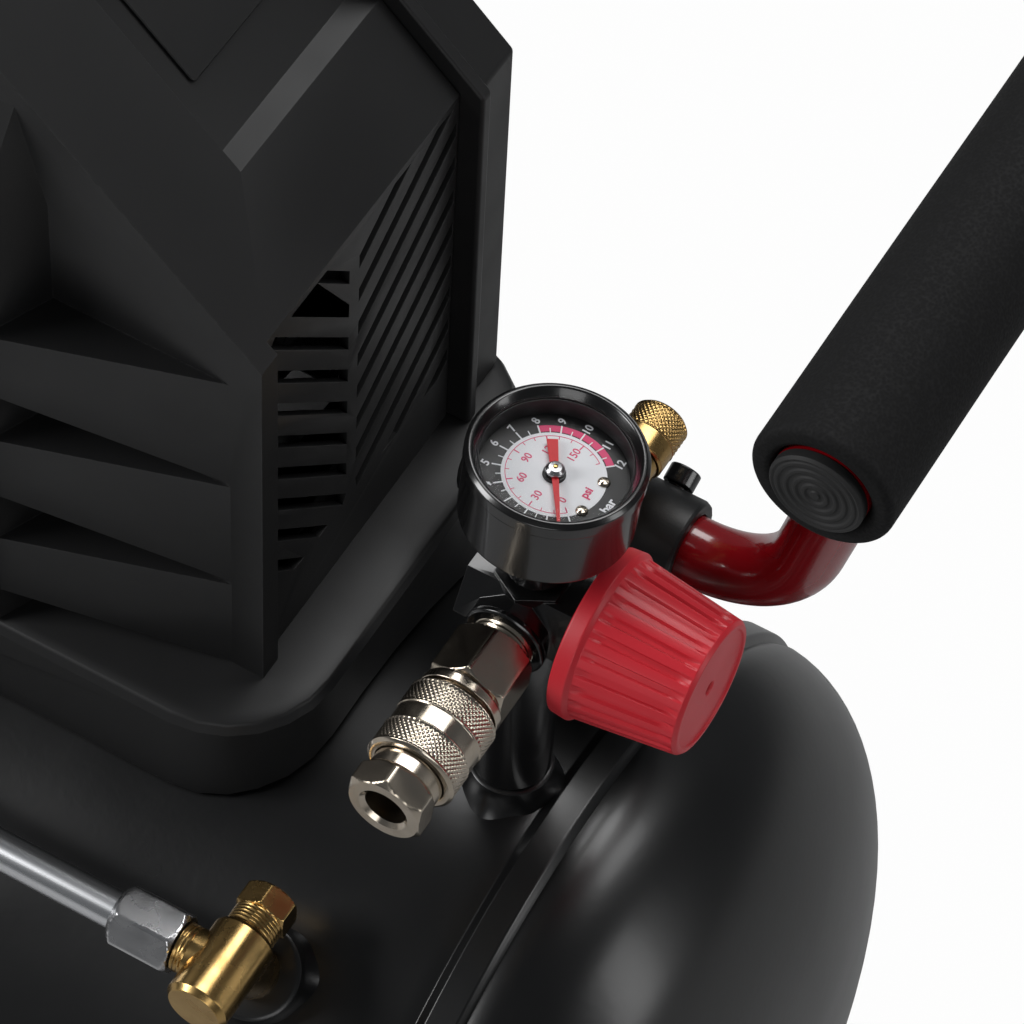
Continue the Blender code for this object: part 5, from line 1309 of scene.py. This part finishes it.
@dataclass
class Cowl:
    """The moulded cowl with its gills and louvres, its tray, and what shows of the pump inside."""

    right: float = -62.0
    left: float = -312.0
    eave: float = 72.0
    run: float = 85.0
    rise: float = 80.0
    panel_depth: float = 4.5
    lid_low: float = 56.0
    lid_high: float = 94.0
    lid_front: float = 17.5
    lid_back: float = 62.0
    edge: float = 1.1

    def shoulder_frame(self, mirrored: bool) -> tuple[np.ndarray, np.ndarray, np.ndarray]:
        """Eave point, uphill direction and outward normal of one shoulder, in X and Z."""
        length = math.hypot(self.run, self.rise)
        side = -1.0 if mirrored else 1.0
        eave = np.array([self.left if mirrored else self.right, self.eave])
        up = np.array([-side * self.run, self.rise]) / length
        return eave, up, side * np.array([up[1], -up[0]])

    def lid(self, label: str, mirrored: bool) -> None:
        """A clip-in cover in the sunk panel, a hair proud of it all round."""
        eave, up, out = self.shoulder_frame(mirrored)
        base = eave - out * (self.panel_depth - 0.05)
        plan = rounded([(self.lid_low, self.lid_front), (self.lid_high, self.lid_front),
                        (self.lid_high, self.lid_back), (self.lid_low, self.lid_back)], 1.5, 4, closed=True)
        layers = []
        for lift, grow in ((0.0, 0.0), (0.75, 0.0), (1.0, -0.3)):
            middle = plan.mean(axis=0)
            shifted = plan + np.sign(plan - middle) * grow
            spot = base + out * lift
            xz = spot[None, :] + shifted[:, :1] * up[None, :]
            layers.append(np.stack([xz[:, 0], shifted[:, 1], xz[:, 1]], axis=1))
        count = len(plan)
        faces = [tuple(f) for f in grid_faces(3, count, False)]
        faces += [tuple(range(count))[::-1], tuple(range(2 * count, 3 * count))]
        item = make_object(f"shoulder_lid_{label}", np.concatenate(layers), faces, Place().matrix())
        commit(item, Finishes.COWL, "chassis")

    def shells(self) -> None:
        """Both shells and the tray with softened edges."""
        stand_in(softened("cowl_front", self.edge, 3), Finishes.COWL, "cowl_front")
        stand_in(softened("cowl_rear", self.edge, 3), Finishes.COWL, "cowl_rear")
        stand_in(softened("cowl_plinth", 0.9, 3), Finishes.COWL, "cowl_plinth")

    def machinery(self) -> None:
        """Finishes of the pump, motor and switch behind the louvres."""
        shaft = Place((-155.0, 33.0, 5.0), X_AXIS)
        looks = {
            "pump_saddle": Finishes.TANK, "pump_mount": Finishes.RUBBER, "pump_base": Finishes.SOCKET,
            "crankcase": Finishes.CASTING, "cylinder": Finishes.IRON, "cylinder_head": Finishes.CASTING,
            "crankshaft": Finishes.STEEL, "connecting_rod": Finishes.CASTING, "motor_stator": Finishes.IRON,
            "motor_rotor": Finishes.STEEL, "cooling_fan": Finishes.WHEEL, "start_capacitor": Finishes.SOCKET,
            "air_filter": Finishes.WHEEL, "pressure_switch": Finishes.WHEEL}
        for node, finish in looks.items():
            dress(node, finish, shaft)

    def button(self) -> None:
        """Red pull button of the pressure switch, with a dished crown."""
        place = Place((-205.0, 30.0, 0.0))
        outline = [(0.0, 118.0), (6.9, 118.0), (6.9, 150.0), (8.3, 150.3), (8.8, 151.2), (8.8, 165.6),
                   (7.6, 167.0),
                   (5.5, 167.0), (3.0, 166.3), (0.0, 166.1)]
        profile = fill_rows(rounded(outline, 0.5, 3), 152.0, 165.0, 1.5)
        shape = ribs(24, 0.35, 0.4, 152.5, 164.5, 0.8)
        item = revolve("switch_button_fine", profile, place, 192,
                       lambda a, r, h: np.where(r > 8.0, shape(a, r, h), r), sharp=50.0)
        stand_in(item, Finishes.BUTTON, "switch_button")

    def gland(self) -> None:
        """Cable gland with a ribbed dome nut."""
        place = Place((-250.0, 100.0, -70.0), Y_AXIS)
        outline = [(3.6, -8.0), (8.0, -8.0), (8.0, 0.35), (11.0, 0.35), (11.0, 4.2), (9.4, 5.2), (8.6, 11.6),
                   (6.4, 14.0), (3.6, 14.0)]
        profile = fill_rows(rounded(outline, 0.5, 3, closed=True), 5.0, 12.0, 0.8)
        shape = ribs(12, 0.5, 0.4, 5.6, 11.8, 0.6)
        item = revolve("cable_gland_fine", profile, place, 144,
                       lambda a, r, h: np.where((r > 8.2) & (h > 5.0), shape(a, r, h), r), sharp=50.0)
        stand_in(item, Finishes.RUBBER, "cable_gland")

    def build(self) -> None:
        """Makes the cowl and dresses the machinery."""
        self.shells()
        self.lid("right", False)
        self.lid("left", True)
        self.machinery()
        self.button()
        self.gland()


@dataclass
class Delivery:
    """Aluminium delivery tube, its compression nut, the brass check valve and the drain."""

    valve: Spot = (-33.0, -88.0, -75.0)
    tube_x: float = -155.0
    deep: float = -13.0
    head_z: float = 92.3
    head_y: float = 3.7
    tube_radius: float = 5.0
    bend: float = 22.0
    drain_x: float = -60.0
    drain_z: float = -346.0

    def tube(self) -> None:
        """From the nut along -X, back through the tray, and up to the head."""
        x, y, z = self.valve
        corners = [(x - 12.3, y, z), (self.tube_x, y, z), (self.tube_x, self.deep, z),
                   (self.tube_x, self.deep, self.head_z - 22.0)]
        route = rounded(corners, self.bend, 20)
        top = [(self.tube_x, self.deep, self.head_z - 14.0),
               (self.tube_x, self.deep + 2.0, self.head_z - 5.0),
               (self.tube_x, self.deep + 8.0, self.head_z), (self.tube_x, self.head_y, self.head_z)]
        full = np.concatenate([route, rounded(top, 6.0, 6)])
        item = sweep("delivery_tube_fine", full, self.tube_radius - 0.02, 36, (0.35, 0.2, 0.9))
        stand_in(item, Finishes.ALUMINIUM, "delivery_tube")

    def nut(self) -> None:
        """Compression nut on the tube, with a rounded back."""
        x, y, z = self.valve
        place = Place((x - 12.3, y, z), X_AXIS)
        corner = 15.5 / 2.0 / math.cos(math.pi / 6.0)
        outline = [(5.35, -18.0), (6.6, -18.0), (7.4, -17.2), (corner + 0.1, -15.6), (corner + 0.1, -1.4),
                   (7.6, 0.0), (5.35, 0.0)]
        item = revolve("delivery_nut_fine", fill_rows(outline, -18.0, 0.0, 0.4), place, 144, hexagon(15.5))
        stand_in(item, replace(Finishes.STEEL, name="nut_steel"), "delivery_nut", place)

    def check(self) -> None:
        """Brass body across the tank, on its leg, with its inlet and hexagon plug."""
        place = Place(self.valve, Y_AXIS)
        body = [(0.0, -14.0), (7.3, -14.0), (8.5, -12.4), (8.5, 9.0), (7.9, 10.0), (6.8, 10.6), (6.8, 16.2),
                (0.0, 16.2)]
        profile = fill_rows(rounded(body, 0.4, 3), 10.6, 16.2, 0.2)
        ringed = threads(1.0, 0.25, 11.0, 15.8)
        stand_in(revolve("check_valve_fine", profile, place, 96, ringed), Finishes.BRASS,
                 "check_valve", place)
        corner = 13.5 / 2.0 / math.cos(math.pi / 6.0)
        plug = [(0.0, 15.9), (6.2, 15.9), (corner + 0.1, 16.8), (corner + 0.1, 22.4), (6.2, 23.5),
                (0.0, 23.5)]
        commit(revolve("check_valve_plug", fill_rows(plug, 15.8, 23.5, 0.3), place, 144, hexagon(13.5)),
               Finishes.BRASS, "chassis", axis=place)
        side = Place(self.valve, (-1.0, 0.0, 0.0))
        inlet = rounded([(4.7, 4.0), (6.6, 4.0), (6.6, 12.0), (4.7, 12.0)], 0.3, 3, closed=True)
        commit(revolve("check_valve_inlet", fill_rows(inlet, 4.0, 12.0, 0.2), side, 96,
                       threads(1.1, 0.3, 8.8, 11.8)), Finishes.BRASS, "chassis", axis=side)
        tank = Tank()
        leg = tank.valve_leg()
        foot = Place(tank.valve_foot(), (leg.x, leg.y, leg.z))
        length = math.hypot(self.valve[1], self.valve[2] - tank.centre_z) - tank.radius
        post = rounded([(0.0, 6.0), (7.2, 6.0), (7.2, length), (0.0, length)], 0.3, 3)
        commit(revolve("check_valve_leg", post, foot, 72), Finishes.BRASS, "chassis", axis=foot)

    def drain(self) -> None:
        """Drain cock under the tank, with a knurled wheel."""
        place = Place((self.drain_x, 0.0, 0.0))
        low = self.drain_z
        corner = 16.0 / 2.0 / math.cos(math.pi / 6.0)
        outline = [(2.6, low - 9.0), (7.2, low - 9.0), (corner + 0.1, low - 8.0), (corner + 0.1, low - 1.4),
                   (7.2, low - 0.3), (6.2, low - 0.3), (6.2, low + 9.0), (2.6, low + 9.0)]
        item = revolve("drain_body_fine", fill_rows(outline, low - 9.0, low, 0.4), place, 144, hexagon(16.0))
        stand_in(item, Finishes.BRASS, "drain_valve", place)
        wheel = [(0.0, low - 19.0), (7.0, low - 19.0), (8.5, low - 18.0), (8.5, low - 11.2),
                 (7.5, low - 10.4),
                 (2.2, low - 9.6), (2.2, low - 4.0), (0.0, low - 4.0)]
        profile = fill_rows(rounded(wheel, 0.3, 3), low - 18.1, low - 11.0, 0.35)
        shape = diamond_knurl(34, 1.5, 0.4, ((low - 17.8, low - 11.5),))
        item = revolve("drain_knob_fine", profile, place, 240,
                       lambda a, r, h: np.where(r > 8.0, shape(a, r, h), r), sharp=70.0)
        stand_in(item, Finishes.BRASS, "drain_knob", place)

    def build(self) -> None:
        """Makes the delivery line and the drain."""
        self.tube()
        self.nut()
        self.check()
        self.drain()


@dataclass
class RunningGear:
    """Two wheels on stub axles at the left, and two rubber feet at the right."""

    radius: float = 72.0
    wheel_x: float = -355.0
    inner_y: float = 126.0
    width: float = 34.0
    foot_x: float = -5.0
    foot_y: float = 75.0
    spokes: int = 6

    def wheel(self, label: str, side: float) -> None:
        """Hub with spoke ribs, tyre with a block tread, and the axle with its push cap."""
        place = Place((self.wheel_x, side * self.inner_y, self.radius - PORT.z), (0.0, side, 0.0))
        w, body = self.width, f"{label}_wheel"
        hub = rounded([(6.35, 0.0), (16.0, 0.0), (16.0, 11.5), (44.0, 13.5), (46.5, 6.0), (49.9, 6.0),
                       (49.9, w - 6.0), (46.5, w - 6.0), (44.0, 20.5), (16.0, 22.5), (14.5, w - 1.0),
                       (6.35, w - 1.0)], 1.2, 4, closed=True)
        stand_in(revolve(f"hub_{label}_fine", hub, place, 128), Finishes.WHEEL, f"hub_{label}")
        tread = rounded([(50.35, 5.0), (57.0, 2.2), (66.5, 3.0), (self.radius, 9.0), (self.radius, w - 9.0),
                         (66.5, w - 3.0), (57.0, w - 2.2), (50.35, w - 5.0)], 2.5, 5, closed=True)
        profile = fill_rows(tread, 8.0, w - 8.0, 1.2)

        def blocks(angle: np.ndarray, radius: np.ndarray, height: np.ndarray) -> np.ndarray:
            """Two staggered rows of blocks on either side of a middle groove."""
            across = height - w / 2.0
            turn = 40.0 * angle / TAU + np.where(across > 0.0, 0.5, 0.0) + across / 14.0
            gap = np.abs((turn % 1.0) - 0.5) > 0.41
            middle = np.abs(across) < 1.0
            return np.where((gap | middle) & (radius > self.radius - 1.6), radius - 1.5, radius)
        item = revolve(f"tyre_{label}_fine", profile, place, 480, blocks, sharp=45.0)
        stand_in(item, Finishes.TYRE, f"tyre_{label}")
        self.spoke_set(label, place, body)
        axle = rounded([(0.0, -26.0), (9.0, -26.0), (9.0, -20.4), (6.0, -20.4), (6.0, w), (9.6, w),
                        (8.4, w + 2.4),
                        (0.0, w + 2.5)], 0.6, 3)
        stand_in(revolve(f"axle_{label}_fine", axle, place, 64), Finishes.STEEL, f"axle_{label}", place)

    def spoke_set(self, label: str, place: Place, body: str) -> None:
        """Raised ribs on the wheel's outer face, from the boss to the rim."""
        parts = []
        for k in range(self.spokes):
            turn = TAU * k / self.spokes
            ahead = np.array([math.cos(turn), math.sin(turn)])
            side = np.array([-ahead[1], ahead[0]])
            halves = ((15.0, 4.2), (30.0, 3.0), (45.2, 4.2))
            plan = np.array([ahead * reach - side * half for reach, half in halves]
                            + [ahead * reach + side * half for reach, half in halves[::-1]])
            parts.append(slab(plan, 25.5, 5.5))
        item = make_object(f"spokes_{label}", *pooled(parts), place.matrix())
        edge = item.modifiers.new("Edge", "BEVEL")
        edge.width, edge.segments = 0.8 * MM, 3
        commit(item, Finishes.WHEEL, body)

    def foot(self, label: str, side: float) -> None:
        """Rubber foot with a grooved side."""
        place = Place((self.foot_x, side * self.foot_y, -PORT.z))
        outline = [(0.0, 0.0), (17.2, 0.0), (20.0, 3.0), (20.0, 9.0), (18.8, 10.2), (20.0, 11.4),
                   (20.0, 19.0),
                   (18.0, 27.6), (14.0, 27.6), (14.0, 34.0), (0.0, 34.0)]
        stand_in(revolve(f"foot_{label}_fine", rounded(outline, 0.9, 4), place, 72), Finishes.RUBBER,
                 f"foot_{label}")

    def build(self) -> None:
        """Makes the wheels, feet and brackets."""
        for label, side in (("front", -1.0), ("rear", 1.0)):
            self.wheel(label, side)
            self.foot(label, side)
        for node in ("axle_bracket", "foot_bracket"):
            stand_in(softened(node, 1.0, 3), Finishes.TANK, node)


# ---------------------------------------------------------------- studio


@dataclass
class SoftBox:
    """A rectangular studio light that points at a spot of the machine."""

    name: str
    at: Spot
    aim: Spot
    size: tuple[float, float]
    power: float
    tint: Spot = (1.0, 1.0, 1.0)

    def build(self) -> None:
        """Adds the area light."""
        lamp = bpy.data.lights.new(self.name, "AREA")
        lamp.shape = "RECTANGLE"
        lamp.size, lamp.size_y = self.size
        lamp.energy = self.power
        lamp.color = self.tint
        item = bpy.data.objects.new(self.name, lamp)
        bpy.context.scene.collection.objects.link(item)
        item.location = self.at
        item.rotation_mode = "QUATERNION"
        item.rotation_quaternion = (Vector(self.aim) - Vector(self.at)).to_track_quat("-Z", "Y")


@dataclass
class Studio:
    """Camera, pale floor, world and lights."""

    azimuth: float = math.radians(27.43)
    elevation: float = math.radians(54.41)
    roll: float = math.radians(3.5)
    lens: float = 184.2
    distance: float = 1.2624
    aim_right: float = -4.82
    aim_up: float = 26.02
    aim_drop: float = 8.5
    floor_half: float = 5.0

    def camera(self) -> None:
        """Long lens from the front right and above, a little rolled."""
        a, e, r = self.azimuth, self.elevation, self.roll
        back = Vector((math.sin(a) * math.cos(e), -math.cos(a) * math.cos(e), math.sin(e)))
        level = Vector((math.cos(a), math.sin(a), 0.0))
        lifted = back.cross(level)
        right = level * math.cos(r) + lifted * math.sin(r)
        up = lifted * math.cos(r) - level * math.sin(r)
        target = PORT + Vector((0.0, 0.0, -self.aim_drop)) + right * self.aim_right + up * self.aim_up
        lens = bpy.data.cameras.new("camera")
        lens.lens = self.lens
        lens.sensor_width = 36.0
        lens.clip_start, lens.clip_end = 0.01, 50.0
        item = bpy.data.objects.new("camera", lens)
        bpy.context.scene.collection.objects.link(item)
        turn = Matrix((right, up, back)).transposed().to_4x4()
        item.matrix_world = Matrix.Translation(target * MM + back * self.distance) @ turn
        bpy.context.scene.camera = item

    def floor(self) -> None:
        """A wide sheet, white to the camera and grey to reflections, so that gloss paint stays black."""
        half = self.floor_half
        corners = np.array([(-half, -half, 0.0), (half, -half, 0.0), (half, half, 0.0), (-half, half, 0.0)])
        mesh = bpy.data.meshes.new("floor")
        mesh.from_pydata(corners.tolist(), [], [(0, 1, 2, 3)])
        item = bpy.data.objects.new("floor", mesh)
        bpy.context.scene.collection.objects.link(item)
        material = bpy.data.materials.new("pale_floor")
        material.use_nodes = True
        material.node_tree.nodes.clear()
        nodes = Nodes(material.node_tree)
        spot = nodes.add("ShaderNodeTexCoord").outputs["Object"]
        mottle = nodes.add("ShaderNodeTexNoise", {"Vector": spot, "Scale": 8.0, "Detail": 4.0})
        colour = nodes.blend(mottle.outputs["Fac"], (0.40, 0.40, 0.40, 1.0), (0.46, 0.46, 0.46, 1.0))
        shader = nodes.add("ShaderNodeBsdfPrincipled", {"Base Color": colour, "Roughness": 0.9,
                                                        "Specular IOR Level": 0.2})
        lit = nodes.add("ShaderNodeEmission", {"Color": (1.0, 1.0, 1.0, 1.0), "Strength": 0.985})
        path = nodes.add("ShaderNodeLightPath")
        mix = nodes.add("ShaderNodeMixShader", {0: path.outputs["Is Camera Ray"], 1: shader.outputs[0],
                                                2: lit.outputs[0]})
        nodes.add("ShaderNodeOutputMaterial", {"Surface": mix.outputs[0]})
        mesh.materials.append(material)

    def world(self) -> None:
        """White to the camera and grey to everything else, so that black paint stays black."""
        world = bpy.data.worlds.new("studio")
        bpy.context.scene.world = world
        world.use_nodes = True
        world.node_tree.nodes.clear()
        nodes = Nodes(world.node_tree)
        path = nodes.add("ShaderNodeLightPath")
        dim = nodes.add("ShaderNodeBackground", {"Color": (0.9, 0.95, 1.0, 1.0), "Strength": 0.10})
        white = nodes.add("ShaderNodeBackground", {"Color": (1.0, 1.0, 1.0, 1.0), "Strength": 1.0})
        mix = nodes.add("ShaderNodeMixShader", {0: path.outputs["Is Camera Ray"], 1: dim.outputs[0],
                                                2: white.outputs[0]})
        nodes.add("ShaderNodeOutputWorld", {"Surface": mix.outputs[0]})

    def lights(self) -> None:
        """Large overhead box, a key from the front left, a rim from the right, and a low front fill."""
        aim = (0.1, 0.0, 0.35)
        boxes = (SoftBox("overhead", (0.1, 0.9, 2.1), aim, (2.2, 0.7), 30.0),
                 SoftBox("key_left", (-1.7, -1.3, 1.7), aim, (0.9, 1.2), 46.0),
                 SoftBox("rim_right", (1.9, 0.3, 0.9), aim, (0.4, 1.2), 6.0),
                 SoftBox("front_fill", (0.9, -2.1, 1.1), aim, (1.2, 0.8), 8.0))
        for box in boxes:
            box.build()

    def build(self) -> None:
        """Sets the whole studio."""
        self.camera()
        self.floor()
        self.world()
        self.lights()
        bpy.context.scene.view_settings.view_transform = "Standard"


def main() -> None:
    """Builds the studio and every sub-assembly, in order."""
    logging.basicConfig(level=logging.INFO, format="%(name)s: %(message)s")
    Studio().build()
    for assembly in (Tank(), Gauge(), Outlet(), Handle(), Cowl(), Delivery(), RunningGear()):
        LOG.info("building %s", type(assembly).__name__)
        assembly.build()


if __name__ == "__main__":
    main()
